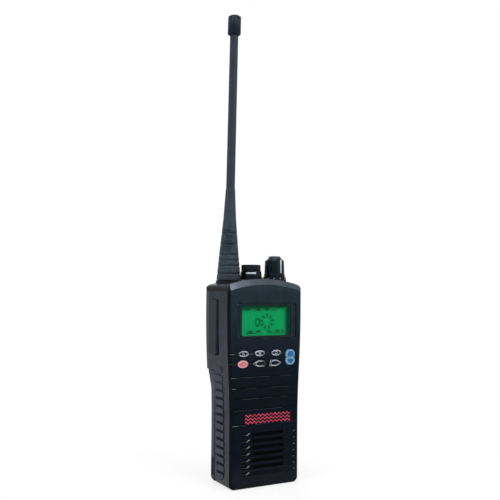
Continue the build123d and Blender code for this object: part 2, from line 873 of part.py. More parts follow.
with BuildPart() as display_module:
    with BuildSketch(front_plane(board_y) * Location((display_x, display_height, 0))):
        RectangleRounded(view_width + 2 * display_border, view_height + 2 * display_border, lens_corner)
    extrude(amount=display_thickness)
keep(display_module, "display_module")

# ---------------------------------------------------------------- keys
for key_name in keys:
    with BuildPart() as key:
        extrude(key_outline(key_name, key_lip_y), amount=key_lip_y - front_y + key_rise)
        fillet(key.faces().sort_by(Axis.Y)[0].edges(), key_edge)
        lip = key_outline(key_name, key_lip_y + key_lip_thickness, grow=key_lip)
        extrude(lip, amount=key_lip_thickness)
        if key_name in ("key_up", "key_down"):
            x, height, _ = keys[key_name]
            with BuildSketch(front_plane(key_lip_y + key_lip_thickness) * Location((x, height, 0))):
                Rectangle(2 * blue_key_width, blue_key_height)
            extrude(amount=head_depth, mode=Mode.INTERSECT)
    keep(key, key_name)

mat_width = blue_left_edge + blue_key_width - key_left_edge + 2 * mat_margin
mat_height = menu_row - arrow_row + red_key_height + 2 * mat_margin
with BuildPart() as keypad_mat:
    mat_place = Location(((key_left_edge + blue_left_edge + blue_key_width) / 2, blue_middle, 0))
    with BuildSketch(front_plane(board_y) * mat_place):
        RectangleRounded(mat_width, mat_height, mat_rim)
    extrude(amount=board_y - mat_y)
    with BuildSketch(front_plane(board_y) * mat_place):
        Rectangle(mat_width - 2 * mat_rim, mat_height - 2 * mat_rim)
    extrude(amount=board_y - mat_y - mat_thickness, mode=Mode.SUBTRACT)
keep(keypad_mat, "keypad_mat")

with BuildPart() as key_domes:
    with BuildSketch(front_plane(board_y)):
        with Locations(*[(place[0], place[1]) for place in keys.values()]):
            Circle(dome_radius)
    extrude(amount=dome_height)
keep(key_domes, "key_domes")

# ---------------------------------------------------------------- boards
control_board_top = deck_height - 2 * wall
control_board_bottom = arrow_row - control_board_drop
with BuildPart() as control_board:
    with BuildSketch(front_plane(board_y + board_thickness)):
        with Locations((0, (control_board_bottom + control_board_top) / 2)):
            Rectangle(control_board_width, control_board_top - control_board_bottom)
    extrude(amount=board_thickness)
keep(control_board, "control_board")

main_board_top = deck_height - main_board_drop
with BuildPart() as main_board:
    with BuildSketch(front_plane(main_board_y + board_thickness)):
        with Locations((0, (main_board_bottom + main_board_top) / 2)):
            Rectangle(main_board_width, main_board_top - main_board_bottom)
    extrude(amount=board_thickness)
keep(main_board, "main_board")

with BuildPart() as shield_cans:
    with BuildSketch(front_plane(main_board_y)):
        with Locations((0, (low_can_bottom + low_can_top) / 2)):
            Rectangle(can_width, low_can_top - low_can_bottom)
        with Locations((0, main_board_top - high_can_drop - high_can_length / 2)):
            Rectangle(can_width, high_can_length)
    extrude(amount=can_height)
keep(shield_cans, "shield_cans")

# ---------------------------------------------------------------- speaker and microphone
speaker_place = Location((speaker_x, louvre_middle, 0))
speaker_y = inner_front_y + membrane_thickness
with BuildPart() as grille_membrane:
    with BuildSketch(front_plane(speaker_y) * speaker_place):
        RectangleRounded(2 * speaker_radius, 2 * speaker_radius, membrane_corner)
    extrude(amount=membrane_thickness)
keep(grille_membrane, "grille_membrane")

with BuildPart() as speaker:
    with BuildSketch(front_plane(speaker_y + speaker_rim_depth) * speaker_place):
        Circle(speaker_radius)
    extrude(amount=speaker_rim_depth)
    with BuildSketch(front_plane(speaker_y + speaker_basket_depth) * speaker_place):
        Circle(speaker_cone_radius)
    extrude(amount=speaker_basket_depth, mode=Mode.SUBTRACT)
    with BuildSketch(front_plane(speaker_y + speaker_rim_depth + speaker_magnet_depth) * speaker_place):
        Circle(speaker_magnet_radius)
    extrude(amount=speaker_magnet_depth)
keep(speaker, "speaker")

with BuildPart() as speaker_cone:
    with BuildSketch(front_plane(speaker_y + speaker_basket_depth) * speaker_place):
        Circle(speaker_cone_foot)
    with BuildSketch(front_plane(speaker_y + speaker_basket_depth - speaker_cone_depth) * speaker_place):
        Circle(speaker_cone_radius)
    loft()
keep(speaker_cone, "speaker_cone")

with BuildPart() as microphone:
    with BuildSketch(front_plane(inner_front_y + mic_depth) * Location((mic_x, mic_height, 0))):
        Circle(mic_radius)
    extrude(amount=mic_depth)
keep(microphone, "microphone")

# ---------------------------------------------------------------- push-to-talk bar, its seal and switch
with BuildPart() as ptt_bar:
    bar_thickness = ptt_rise + wall - ptt_travel - ptt_stop_gap
    extrude(ptt_outline(-head_width / 2 - ptt_rise), amount=bar_thickness)
    fillet(ptt_bar.faces().sort_by(Axis.X)[0].edges(), ptt_rise / 2)
keep(ptt_bar, "ptt_bar")

seal_inset = wall + ptt_seal_thickness
seal_layer = side_layer_part(
    lambda x: ptt_outline(x, grow=slide_gap + ptt_seal_edge, front_grow=ptt_front_gap), wall, seal_inset
)
with BuildPart() as ptt_seal:
    add(seal_layer)
keep(ptt_seal, "ptt_seal")

ptt_middle = (ptt_bottom + ptt_top) / 2
ptt_switch_x = -head_width / 2 + seal_inset + ptt_switch_gap
with BuildPart() as ptt_switch:
    with BuildSketch(side_plane(ptt_switch_x)):
        with Locations(((main_board_y + board_thickness + ptt_back) / 2, ptt_middle)):
            Rectangle(ptt_back - main_board_y - board_thickness, ptt_switch_height)
    extrude(amount=ptt_switch_length)
keep(ptt_switch, "ptt_switch")

# ---------------------------------------------------------------- ladder grip pads
# Rubber let into each side of the grip, with raised rungs.
pad_layer = side_layer_part(pad_outline, -rung_rise, pad_recess)
proud_layer = side_layer_part(pad_outline, -rung_rise, 0.0)
with BuildPart() as rung_gaps:
    add(proud_layer)
    with BuildSketch(side_plane(-head_width)):
        for rung in range(rung_count):
            with Locations((pad_foot_y, pad_bottom + rung_foot_gap + rung_pitch * rung + rung_height / 2)):
                Rectangle(pad_width * 2, rung_height)
    extrude(amount=head_width, mode=Mode.SUBTRACT)
with BuildPart() as grip_pad_left:
    add(pad_layer)
    add(rung_gaps.part, mode=Mode.SUBTRACT)
keep(grip_pad_left, "grip_pad_left")

pad_right = mirror(grip_pad_left.part, about=Plane.YZ)
with BuildPart() as grip_pad_right:
    add(pad_right)
keep(grip_pad_right, "grip_pad_right")

# ---------------------------------------------------------------- volume and selector controls
control_top = deck_height - wall - control_body_play
control_floor = control_top - control_body_height
bore_foot = control_floor + shaft_bottom_room
shaft_foot = bore_foot + knob_float
for body_name, x, boss_top in (
    ("volume_encoder", volume_x, volume_boss_top),
    ("selector_switch", selector_x, selector_boss_top),
):
    with BuildPart() as control_body:
        with BuildSketch(Plane.XY.offset(control_floor)):
            with Locations((x, control_y)):
                Rectangle(control_body_width, control_body_depth)
        extrude(amount=control_body_height)
        with BuildSketch(Plane.XY.offset(control_top)):
            with Locations((x, control_y)):
                Circle(bush_radius)
        extrude(amount=boss_top - control_top)
        with BuildSketch(Plane.XY.offset(bore_foot)):
            with Locations((x, control_y)):
                Circle(shaft_radius + shaft_running_gap)
        extrude(amount=boss_top - bore_foot, mode=Mode.SUBTRACT)
    keep(control_body, body_name)

volume_foot = volume_boss_top + knob_float
volume_shoulder = volume_foot + volume_body_height
volume_top = volume_shoulder + volume_shoulder_height
with BuildPart() as volume_shaft:
    with BuildSketch(Plane.XY.offset(shaft_foot)):
        with Locations((volume_x, control_y)):
            Circle(shaft_radius)
    extrude(amount=volume_shoulder - shaft_foot)
keep(volume_shaft, "volume_shaft")

with BuildPart() as volume_knob:
    with BuildSketch(control_plane(volume_x, control_y)):
        with BuildLine():
            Polyline(
                (shaft_radius, volume_foot), (volume_ring_radius, volume_foot),
                (volume_ring_radius, volume_foot + volume_ring_height),
                (volume_radius, volume_foot + volume_ring_height),
                (volume_top_radius, volume_shoulder), (volume_cap_radius, volume_top),
                (volume_cap_radius - slide_gap, volume_top),
                (volume_cap_radius - slide_gap, volume_top - volume_cap_seat),
                (0, volume_top - volume_cap_seat), (0, volume_shoulder), (shaft_radius, volume_shoulder),
                close=True,
            )
        make_face()
    revolve(axis=control_axis(volume_x, control_y))
    with BuildSketch(Plane.XY.offset(volume_foot + volume_ring_height + flute_bottom)):
        with Locations((volume_x, control_y)):
            with PolarLocations(flute_offset, flute_count):
                Circle(flute_radius)
    extrude(amount=volume_body_height, mode=Mode.SUBTRACT)
keep(volume_knob, "volume_knob")

with BuildPart() as volume_cap:
    with BuildSketch(Plane.XY.offset(volume_top - volume_cap_seat)):
        with Locations((volume_x, control_y)):
            Circle(volume_cap_radius - slide_gap)
    extrude(amount=volume_cap_height)
    fillet(volume_cap.faces().sort_by(Axis.Z)[-1].edges(), volume_cap_dome)
keep(volume_cap, "volume_cap")

selector_foot = selector_boss_top + knob_float
skirt_top = selector_foot + selector_skirt_height
disc_foot = skirt_top + selector_neck_height
disc_top = disc_foot + selector_disc_height
shaft_top = disc_top - selector_disc_roof
with BuildPart() as selector_shaft:
    with BuildSketch(Plane.XY.offset(shaft_foot)):
        with Locations((selector_x, control_y)):
            Circle(shaft_radius)
    extrude(amount=shaft_top - shaft_foot)
keep(selector_shaft, "selector_shaft")

with BuildPart() as selector_skirt:
    with BuildSketch(control_plane(selector_x, control_y)):
        with BuildLine():
            Polyline(
                (shaft_radius, selector_foot), (selector_skirt_radius, selector_foot),
                (selector_skirt_radius, selector_foot + selector_skirt_edge),
                (selector_skirt_shoulder, skirt_top), (selector_skirt_neck, skirt_top),
                (selector_skirt_neck, disc_foot), (shaft_radius, disc_foot), close=True,
            )
        make_face()
    revolve(axis=control_axis(selector_x, control_y))
    rims = selector_skirt.edges().filter_by(GeomType.CIRCLE)
    fillet(rims.filter_by(lambda edge: edge.center().Z > skirt_top - selector_disc_edge)
           .sort_by(SortBy.RADIUS)[-1], selector_disc_edge)
keep(selector_skirt, "selector_skirt")

with BuildPart() as selector_disc:
    with BuildSketch(Plane.XY.offset(disc_foot)):
        with Locations((selector_x, control_y)):
            Circle(selector_disc_radius)
    extrude(amount=selector_disc_height)
    chamfer(selector_disc.faces().sort_by(Axis.Z)[-1].edges(), selector_disc_edge)
    with BuildSketch(Plane.XY.offset(disc_foot)):
        with Locations((selector_x, control_y)):
            Circle(shaft_radius)
    extrude(amount=shaft_top - disc_foot, mode=Mode.SUBTRACT)
    with BuildSketch(Plane.XY.offset(disc_foot)):
        with Locations((selector_x, control_y)):
            with PolarLocations(selector_disc_radius, knurl_count):
                RegularPolygon(knurl_radius, knurl_corners)
    extrude(amount=selector_disc_height, mode=Mode.SUBTRACT)
keep(selector_disc, "selector_disc")

# ---------------------------------------------------------------- antenna
socket_top = antenna_boss_top + socket_rise
socket_foot = deck_height - wall - socket_flange_height
boot_foot = antenna_boss_top + base_seal_thickness
boot_top = boot_foot + boot_height
stud_foot = socket_foot + shaft_bottom_room
with BuildPart() as antenna_socket:
    with BuildSketch(control_plane(antenna_x, antenna_y)):
        with BuildLine():
            Polyline(
                (0, socket_foot), (socket_flange_radius, socket_foot),
                (socket_flange_radius, deck_height - wall), (socket_radius, deck_height - wall),
                (socket_radius, socket_top), (stud_radius, socket_top), (stud_radius, stud_foot),
                (0, stud_foot), close=True,
            )
        make_face()
    revolve(axis=control_axis(antenna_x, antenna_y))
keep(antenna_socket, "antenna_socket")

with BuildPart() as antenna_stud:
    with BuildSketch(Plane.XY.offset(stud_foot)):
        with Locations((antenna_x, antenna_y)):
            Circle(stud_radius)
    extrude(amount=stud_length + stud_grip)
keep(antenna_stud, "antenna_stud")

with BuildPart() as antenna_seal:
    with BuildSketch(Plane.XY.offset(antenna_boss_top)):
        with Locations((antenna_x, antenna_y)):
            Circle(base_seal_radius)
            Circle(base_seal_inner, mode=Mode.SUBTRACT)
    extrude(amount=base_seal_thickness)
keep(antenna_seal, "antenna_seal")

whip_foot = boot_top - whip_socket_depth
stud_top = stud_foot + stud_length + stud_grip
with BuildPart() as antenna_boot:
    with BuildSketch(control_plane(antenna_x, antenna_y)):
        with BuildLine():
            Polyline(
                (0, stud_top), (stud_radius, stud_top), (stud_radius, socket_top + slide_gap),
                (socket_radius + slide_gap, socket_top + slide_gap), (socket_radius + slide_gap, boot_foot),
                (boot_radius, boot_foot), (boot_waist_radius, boot_foot + boot_waist_height),
                (boot_top_radius, boot_top), (whip_radius, boot_top), (whip_radius, whip_foot),
                (0, whip_foot), close=True,
            )
        make_face()
    revolve(axis=control_axis(antenna_x, antenna_y))
    for rise in boot_grooves:
        groove_radius = boot_radius - (boot_radius - boot_waist_radius) * rise / boot_waist_height
        with BuildSketch(Plane.XY.offset(boot_foot + rise)):
            with Locations((antenna_x, antenna_y)):
                Circle(groove_radius + boot_groove_depth)
                Circle(groove_radius - boot_groove_depth, mode=Mode.SUBTRACT)
        extrude(amount=boot_groove_width, mode=Mode.SUBTRACT)
keep(antenna_boot, "antenna_boot")

tip_foot = antenna_height - tip_height
with BuildPart() as antenna_whip:
    with Locations((antenna_x, antenna_y, whip_foot)):
        Cone(whip_radius, whip_top_radius, tip_foot - whip_foot,
             align=(Align.CENTER, Align.CENTER, Align.MIN))
    with BuildSketch(Plane.XY.offset(tip_foot)):
        with Locations((antenna_x, antenna_y)):
            Circle(whip_top_radius)
    extrude(amount=tip_socket_depth)
keep(antenna_whip, "antenna_whip")

with BuildPart() as antenna_tip:
    with BuildSketch(Plane.XY.offset(tip_foot)):
        with Locations((antenna_x, antenna_y)):
            Circle(tip_radius)
    extrude(amount=tip_height)
    chamfer(antenna_tip.edges().filter_by(GeomType.CIRCLE), tip_chamfer)
    with BuildSketch(Plane.XY.offset(tip_foot)):
        with Locations((antenna_x, antenna_y)):
            Circle(whip_top_radius)
    extrude(amount=tip_socket_depth, mode=Mode.SUBTRACT)
keep(antenna_tip, "antenna_tip")

# ---------------------------------------------------------------- accessory port
side_x = head_width / 2
port_place = Location((port_y, port_height, 0))
screw_place = Location((port_y, port_height - port_screw_drop, 0))
with BuildPart() as accessory_socket:
    with BuildSketch(side_plane(side_x - wall - port_insert_depth) * port_place):
        RectangleRounded(port_width, port_length, port_corner)
    extrude(amount=wall + port_insert_depth)
    with BuildSketch(side_plane(side_x) * screw_place):
        Circle(port_screw_radius)
    extrude(amount=-port_insert_depth, mode=Mode.SUBTRACT)
keep(accessory_socket, "accessory_socket")

with BuildPart() as accessory_cover:
    with BuildSketch(side_plane(side_x) * port_place):
        RectangleRounded(port_width + 2 * port_cover_margin, port_length + 2 * port_cover_margin, port_corner)
    extrude(amount=port_cover_thickness)
    fillet(accessory_cover.faces().sort_by(Axis.X)[-1].edges(), port_cover_round)
    with BuildSketch(side_plane(side_x) * screw_place):
        Circle(port_screw_radius)
    extrude(amount=port_cover_thickness, mode=Mode.SUBTRACT)
keep(accessory_cover, "accessory_cover")

with BuildPart() as accessory_screw:
    with BuildSketch(side_plane(side_x - port_insert_depth) * screw_place):
        Circle(port_screw_radius)
    extrude(amount=port_insert_depth + port_cover_thickness)
    with BuildSketch(side_plane(side_x + port_cover_thickness) * screw_place):
        Circle(port_screw_head_radius)
        with PolarLocations(port_screw_head_radius, port_screw_notches):
            Circle(port_screw_notch, mode=Mode.SUBTRACT)
    extrude(amount=port_screw_head_height)
keep(accessory_screw, "accessory_screw")

# ---------------------------------------------------------------- belt clip
clip_inner_y = back_y + clip_gap
clip_outer_y = clip_inner_y + clip_thickness
clip_tab_top = clip_pivot_height + clip_tab_rise
clip_bottom = clip_pivot_height - clip_reach
clip_bump_height = clip_bottom + clip_bump_rise
pivot_y = back_y + clip_pivot_out
pivot_place = Location((pivot_y, clip_pivot_height, 0))
ear_inner_x = clip_width / 2 + clip_side_gap
with BuildPart() as clip_bracket:
    with BuildSketch(front_plane(back_y + clip_base_thickness)):
        with Locations((0, clip_pivot_height - clip_base_drop)):
            Rectangle(2 * (ear_inner_x + clip_ear_width), clip_base_height)
    extrude(amount=clip_base_thickness)
    for side in (-1, 1):
        ear_x = side * (ear_inner_x + clip_ear_width / 2) - clip_ear_width / 2
        with BuildSketch(side_plane(ear_x)):
            with Locations((pivot_y, clip_pivot_height)):
                Circle(clip_barrel_radius + clip_side_gap)
            with Locations(((pivot_y + back_y) / 2, clip_pivot_height)):
                Rectangle(pivot_y - back_y, 2 * (clip_barrel_radius + clip_side_gap))
        extrude(amount=clip_ear_width)
    with BuildSketch(side_plane(-clip_width) * pivot_place):
        Circle(clip_pin_radius)
    extrude(amount=2 * clip_width, mode=Mode.SUBTRACT)
    with BuildSketch(front_plane(back_y + clip_base_thickness)):
        with Locations(*clip_screw_spots):
            Circle(screw_radius)
    extrude(amount=clip_base_thickness, mode=Mode.SUBTRACT)
keep(clip_bracket, "clip_bracket")

with BuildPart() as clip_screws:
    with BuildSketch(front_plane(back_y + clip_base_thickness)):
        with Locations(*clip_screw_spots):
            Circle(screw_radius)
    extrude(amount=clip_base_thickness + casting_wall)
    with BuildSketch(front_plane(back_y + clip_base_thickness)):
        with Locations(*clip_screw_spots):
            Circle(clip_screw_head_radius)
    extrude(amount=-clip_screw_head_height)
keep(clip_screws, "clip_screws")

with BuildPart() as clip_pin:
    with BuildSketch(side_plane(-ear_inner_x - clip_ear_width) * pivot_place):
        Circle(clip_pin_radius)
    extrude(amount=2 * (ear_inner_x + clip_ear_width))
keep(clip_pin, "clip_pin")

with BuildPart() as clip_plate:
    with BuildSketch(side_plane(-clip_width / 2)) as profile:
        with BuildLine():
            Polyline(
                (clip_inner_y, clip_tab_top), (clip_inner_y, clip_bump_height + clip_gap),
                (back_y + clip_bump_clearance, clip_bump_height), (clip_inner_y, clip_bottom + clip_flare),
                (clip_inner_y + clip_flare, clip_bottom), (clip_outer_y + clip_flare, clip_bottom),
                (clip_outer_y, clip_bottom + 2 * clip_flare), (clip_outer_y, clip_tab_top), close=True,
            )
        make_face()
        with Locations((pivot_y, clip_pivot_height)):
            Circle(clip_barrel_radius)
    extrude(amount=clip_width)
    with BuildSketch(side_plane(-clip_spring_width / 2)):
        with Locations((pivot_y, clip_pivot_height)):
            Rectangle(2 * (clip_barrel_radius + clip_side_gap), 2 * (clip_barrel_radius + clip_side_gap))
    extrude(amount=clip_spring_width, mode=Mode.SUBTRACT)
    with BuildSketch(side_plane(-clip_width / 2) * pivot_place):
        Circle(clip_pin_radius + clip_pin_gap)
    extrude(amount=clip_width, mode=Mode.SUBTRACT)
keep(clip_plate, "clip_plate")

coil_radius = clip_pin_radius + clip_spring_gap + clip_spring_wire
with BuildPart() as clip_spring:
    with BuildSketch(front_plane(pivot_y) * Location((0, clip_pivot_height, 0))):
        for turn in range(clip_spring_turns):
            with Locations((clip_spring_pitch * (turn - (clip_spring_turns - 1) / 2), coil_radius)):
                RegularPolygon(clip_spring_wire, clip_spring_facets)
    revolve(axis=Axis((0, pivot_y, clip_pivot_height), (1, 0, 0)))
keep(clip_spring, "clip_spring")
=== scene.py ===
import bpy
import math
from mathutils import Matrix, Vector


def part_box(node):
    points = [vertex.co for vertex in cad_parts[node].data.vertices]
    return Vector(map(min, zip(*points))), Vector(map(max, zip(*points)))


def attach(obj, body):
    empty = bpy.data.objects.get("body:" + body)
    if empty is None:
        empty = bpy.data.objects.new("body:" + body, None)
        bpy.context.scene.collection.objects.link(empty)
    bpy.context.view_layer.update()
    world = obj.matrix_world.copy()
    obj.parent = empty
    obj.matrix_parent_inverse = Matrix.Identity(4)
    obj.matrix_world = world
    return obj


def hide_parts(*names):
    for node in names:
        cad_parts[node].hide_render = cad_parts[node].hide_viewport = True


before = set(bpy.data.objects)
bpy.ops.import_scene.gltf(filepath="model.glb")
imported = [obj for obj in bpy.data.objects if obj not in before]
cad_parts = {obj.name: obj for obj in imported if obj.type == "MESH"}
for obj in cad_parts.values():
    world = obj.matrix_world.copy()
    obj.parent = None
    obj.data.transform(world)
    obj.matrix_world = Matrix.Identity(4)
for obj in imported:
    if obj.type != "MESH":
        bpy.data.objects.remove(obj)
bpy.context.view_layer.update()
mm = 0.001

# ---------------------------------------------------------------- front shell
# The front, sides and base of the case: one injection moulding in glass filled polycarbonate.
# Spark-eroded tool steel leaves a fine, dull grain. The front panel is darker than the sides, partly
# from a satin coat and partly as painted shade, with painted shade that is deepest low down and lifts
# towards the top; the front corners carry painted shade at the left and painted light at the right.
# The sides run lighter towards the bottom.
side_tones = ((0, "#4b4c52"), (30, "#3d3f4a"), (85, "#3d404a"), (110, "#363a45"), (136, "#2f343d"))
# Painted shade: the panel is darkest in its lower part and lighter towards the top and the bottom edge.
panel_coat_and_shade = (
    (6, "#14161e"), (20, "#060b17"), (62, "#020b15"), (84, "#06101a"), (104, "#111b25"), (128, "#1a262e"))
# Painted shade on the left front corner, painted light on the right one.
corner_painted_light_and_shade = ((-29, "#06090e"), (-24, "#05090d"), (24, "#0d1218"), (29, "#2a3138"))
# A real grain is about 0.1 mm. Every grain in this file is drawn coarser, as far as it takes to show.
shell_grain = 0.45 * mm
corner_limit = -17.5
panel_limit = -19.8
zone_blend = 0.1
cloud_size = 9 * mm
cloud_low = 0.3
cloud_high = 0.7
sheen_swing = 0.06
smooth_angle = math.radians(40)


def linear(colour):
    """Linear red, green, blue and alpha of an sRGB hex colour."""
    values = [int(colour[i:i + 2], 16) / 255 for i in (1, 3, 5)]
    return [v / 12.92 if v <= 0.04045 else ((v + 0.055) / 1.055) ** 2.4 for v in values] + [1.0]


def add_node(tree, kind, inputs=None, **settings):
    """Add a shader node, give it its settings, and fill or link its inputs."""
    node = tree.nodes.new(kind)
    for name, value in settings.items():
        setattr(node, name, value)
    for socket, value in (inputs or {}).items():
        if isinstance(value, bpy.types.NodeSocket):
            tree.links.new(value, node.inputs[socket])
        else:
            node.inputs[socket].default_value = value
    return node


def ramp(tree, along, stops):
    """Colour that passes smoothly through stops of a place in millimetres and a colour."""
    tone = linear(stops[0][1])
    for (low, _), (high, colour) in zip(stops, stops[1:]):
        share = add_node(tree, "ShaderNodeMapRange", {
            "Value": along, "From Min": low * mm, "From Max": high * mm}).outputs["Result"]
        tone = add_node(tree, "ShaderNodeMix", {
            0: share, 6: tone, 7: linear(colour)}, data_type="RGBA").outputs[2]
    return tone


def moulded(name, colour, roughness, grain, relief=0.02 * mm, specular=0.12, uneven=0.25,
            axis="Z", zones=()):
    """Moulded plastic or rubber: fine grain and an uneven tone, in one colour or in stops along an
    axis. Each zone is an axis, the place in millimetres below which other tones lie, and those tones'
    own axis and stops; the zones lay on a coat, painted shade and painted light."""
    stops = ((0, colour),) if isinstance(colour, str) else colour
    material = bpy.data.materials.new(name)
    material.use_nodes = True
    tree = material.node_tree
    tree.nodes.clear()
    place = add_node(tree, "ShaderNodeTexCoord").outputs["Object"]
    axes = add_node(tree, "ShaderNodeSeparateXYZ", {"Vector": place})
    tone = ramp(tree, axes.outputs[axis], stops)
    for across, limit, way, zone_tones in zones:
        behind = add_node(tree, "ShaderNodeMapRange", {
            "Value": axes.outputs[across],
            "From Min": (limit - zone_blend) * mm, "From Max": (limit + zone_blend) * mm})
        tone = add_node(tree, "ShaderNodeMix", {
            0: behind.outputs["Result"], 6: ramp(tree, axes.outputs[way], zone_tones), 7: tone},
            data_type="RGBA").outputs[2]
    cloud = add_node(tree, "ShaderNodeTexNoise", {
        "Vector": place, "Scale": 1 / cloud_size, "Detail": 4.0, "Roughness": 0.7})
    shade = add_node(tree, "ShaderNodeMapRange", {
        "Value": cloud.outputs["Fac"], "From Min": cloud_low, "From Max": cloud_high,
        "To Min": 1 - uneven, "To Max": 1 + uneven})
    tone = add_node(tree, "ShaderNodeHueSaturation", {
        "Color": tone, "Value": shade.outputs["Result"]}).outputs[0]
    pits = add_node(tree, "ShaderNodeTexNoise", {
        "Vector": place, "Scale": 1 / grain, "Detail": 2.0, "Roughness": 0.6})
    surface = add_node(tree, "ShaderNodeBump", {
        "Strength": 0.6, "Distance": relief, "Height": pits.outputs["Fac"]})
    sheen = add_node(tree, "ShaderNodeMapRange", {
        "Value": cloud.outputs["Fac"], "From Min": cloud_low, "From Max": cloud_high,
        "To Min": roughness - sheen_swing, "To Max": roughness + sheen_swing})
    shader = add_node(tree, "ShaderNodeBsdfPrincipled", {
        "Base Color": tone, "Roughness": sheen.outputs["Result"], "IOR": 1.5,
        "Specular IOR Level": specular, "Normal": surface.outputs["Normal"]})
    add_node(tree, "ShaderNodeOutputMaterial", {"Surface": shader.outputs["BSDF"]})
    return material


def dress(material, *nodes):
    """Give CAD nodes a material."""
    for name in nodes:
        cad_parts[name].material_slots[0].material = material


shell_plastic = moulded("spark_grained_polycarbonate", side_tones, 0.6, shell_grain, specular=0.05,
                        zones=(("Y", corner_limit, "X", corner_painted_light_and_shade), ("Y", panel_limit, "Z", panel_coat_and_shade)))
dress(shell_plastic, "front_shell")


def activate(*pieces):
    """Select only these pieces, with the last one active."""
    bpy.ops.object.select_all(action="DESELECT")
    for piece in pieces:
        piece.select_set(True)
    bpy.context.view_layer.objects.active = pieces[-1]


def add_bar(low, high, rounding=0.0, segments=2, lean=0.0, swell=1.0):
    """Bar between two corners in millimetres: rounded edges, a lean about Y, a swollen +X end."""
    bpy.ops.object.select_all(action="DESELECT")
    middle = [(a + b) / 2 * mm for a, b in zip(low, high)]
    bpy.ops.mesh.primitive_cube_add(size=1, location=middle)
    bar = bpy.context.object
    bar.scale = [(b - a) * mm for a, b in zip(low, high)]
    bar.rotation_euler = (0, -math.radians(lean), 0)
    bpy.ops.object.transform_apply(location=True, rotation=True, scale=True)
    for face in bar.data.polygons:
        face.select = face.normal.x > math.cos(math.radians(45))
    bpy.ops.object.mode_set(mode="EDIT")
    if swell != 1.0:
        bpy.ops.transform.resize(value=(1, 1, swell))
    if rounding:
        bpy.ops.mesh.select_all(action="SELECT")
        bpy.ops.mesh.bevel(offset=rounding * mm, segments=segments)
    bpy.ops.object.mode_set(mode="OBJECT")
    return bar


def fit(name, parts, material, body):
    """Join parts into one named piece, give it a material, and let it ride on a body."""
    activate(*parts)
    if len(parts) > 1:
        bpy.ops.object.join()
    piece = bpy.context.object
    piece.name = name
    piece.data.materials.clear()
    piece.data.materials.append(material)
    bpy.ops.object.shade_smooth_by_angle(angle=smooth_angle)
    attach(piece, body)
    return piece


# Hairline ribs moulded into the panel join the keys of each row and run on to the left edge, and
# hairline lips edge the relief grooves below. They are lighter than the panel as painted highlight on
# their edges, brightest at the left, and a short bar at the window's top-left corner is a painted glint.
rib_front = -20.14
rib_back = -19.9
rib_height = 0.3
rib_edge = 0.06
# Painted glints on the ribs' left ends and on the window's corner.
glint_lines = (
    (94.7, -29.2, -26.0), (94.5, -14.0, -10.6), (78.0, -28.2, -24.2), (70.45, -27.2, -24.2),
    (44.6, -26.8, -22.4), (129.7, -23.6, -22.4),
)
# Ribs in a lighter tone than the panel, as a faint painted highlight.
faint_highlight_lines = (
    (94.6, -26.0, -23.8), (94.5, -0.6, 3.2), (94.5, 13.1, 15.8), (94.5, 24.6, 28.8),
    (87.9, -29.2, -23.8), (87.7, -14.4, -12.2), (78.1, -24.2, 3.3), (78.2, 11.8, 21.2),
    (70.4, -15.4, -8.0), (70.2, 5.0, 19.5), (62.9, -19.3, -5.6), (62.9, -3.2, 5.1),
    (62.9, 11.9, 17.8), (55.0, -25.6, -18.5), (55.0, -18.5, -3.0), (55.0, -3.0, 13.6),
    (44.6, -22.4, -16.0), (44.6, -8.7, 2.0), (44.5, 12.0, 27.0), (105.0, -19.5, -12.0),
    (105.0, -2.2, 3.4), (105.0, 8.0, 11.0),
)
for name, lines, tone in (
        ("painted_glint_panel_lines", glint_lines, "#5d6870"), ("faint_highlight_panel_lines", faint_highlight_lines, "#252e36")):
    bars = [add_bar((left, rib_front, z - rib_height / 2), (right, rib_back, z + rib_height / 2), rib_edge)
            for z, left, right in lines]
    highlight_plastic = moulded("polished_" + name, tone, 0.45, 2.2 * mm, specular=0.15, uneven=0.55)
    fit(name, bars, highlight_plastic, "radio")

# Each grille louvre ends in a short lip that sweeps up to its slot: thin and dark at the left,
# thick and lighter where it carries a painted highlight. A small stop closes the right end, with a
# painted highlight too.
louvre_heights = (37.6, 33.0, 28.3, 23.8, 19.3, 14.8, 10.3)
tail_front = -19.95
lip_front = -20.05
lip_back = -19.1
lips = []
for z in louvre_heights:
    lips += [
        add_bar((-20.6, tail_front, z - 0.15), (-14.4, lip_back, z + 0.15), 0.08, lean=3.0),
        add_bar((-15.6, lip_front, z + 0.18), (-12.9, lip_back, z + 0.58), 0.14, lean=16.0, swell=2.2),
        add_bar((23.2, lip_front, z - 0.35), (24.6, lip_back, z + 0.25), 0.2, lean=10.0),
    ]
# Painted highlight: the lips lighten along X, brightest near their thick ends.
lip_highlight_tones = ((-20.6, "#141c25"), (-16, "#232d36"), (-13.6, "#6b757d"), (22, "#4b555d"))
lip_highlight_plastic = moulded("painted_highlight_louvre_lip", lip_highlight_tones, 0.4, 0.9 * mm, specular=0.2, axis="X", uneven=0.35)
fit("louvre_lips", lips, lip_highlight_plastic, "radio")

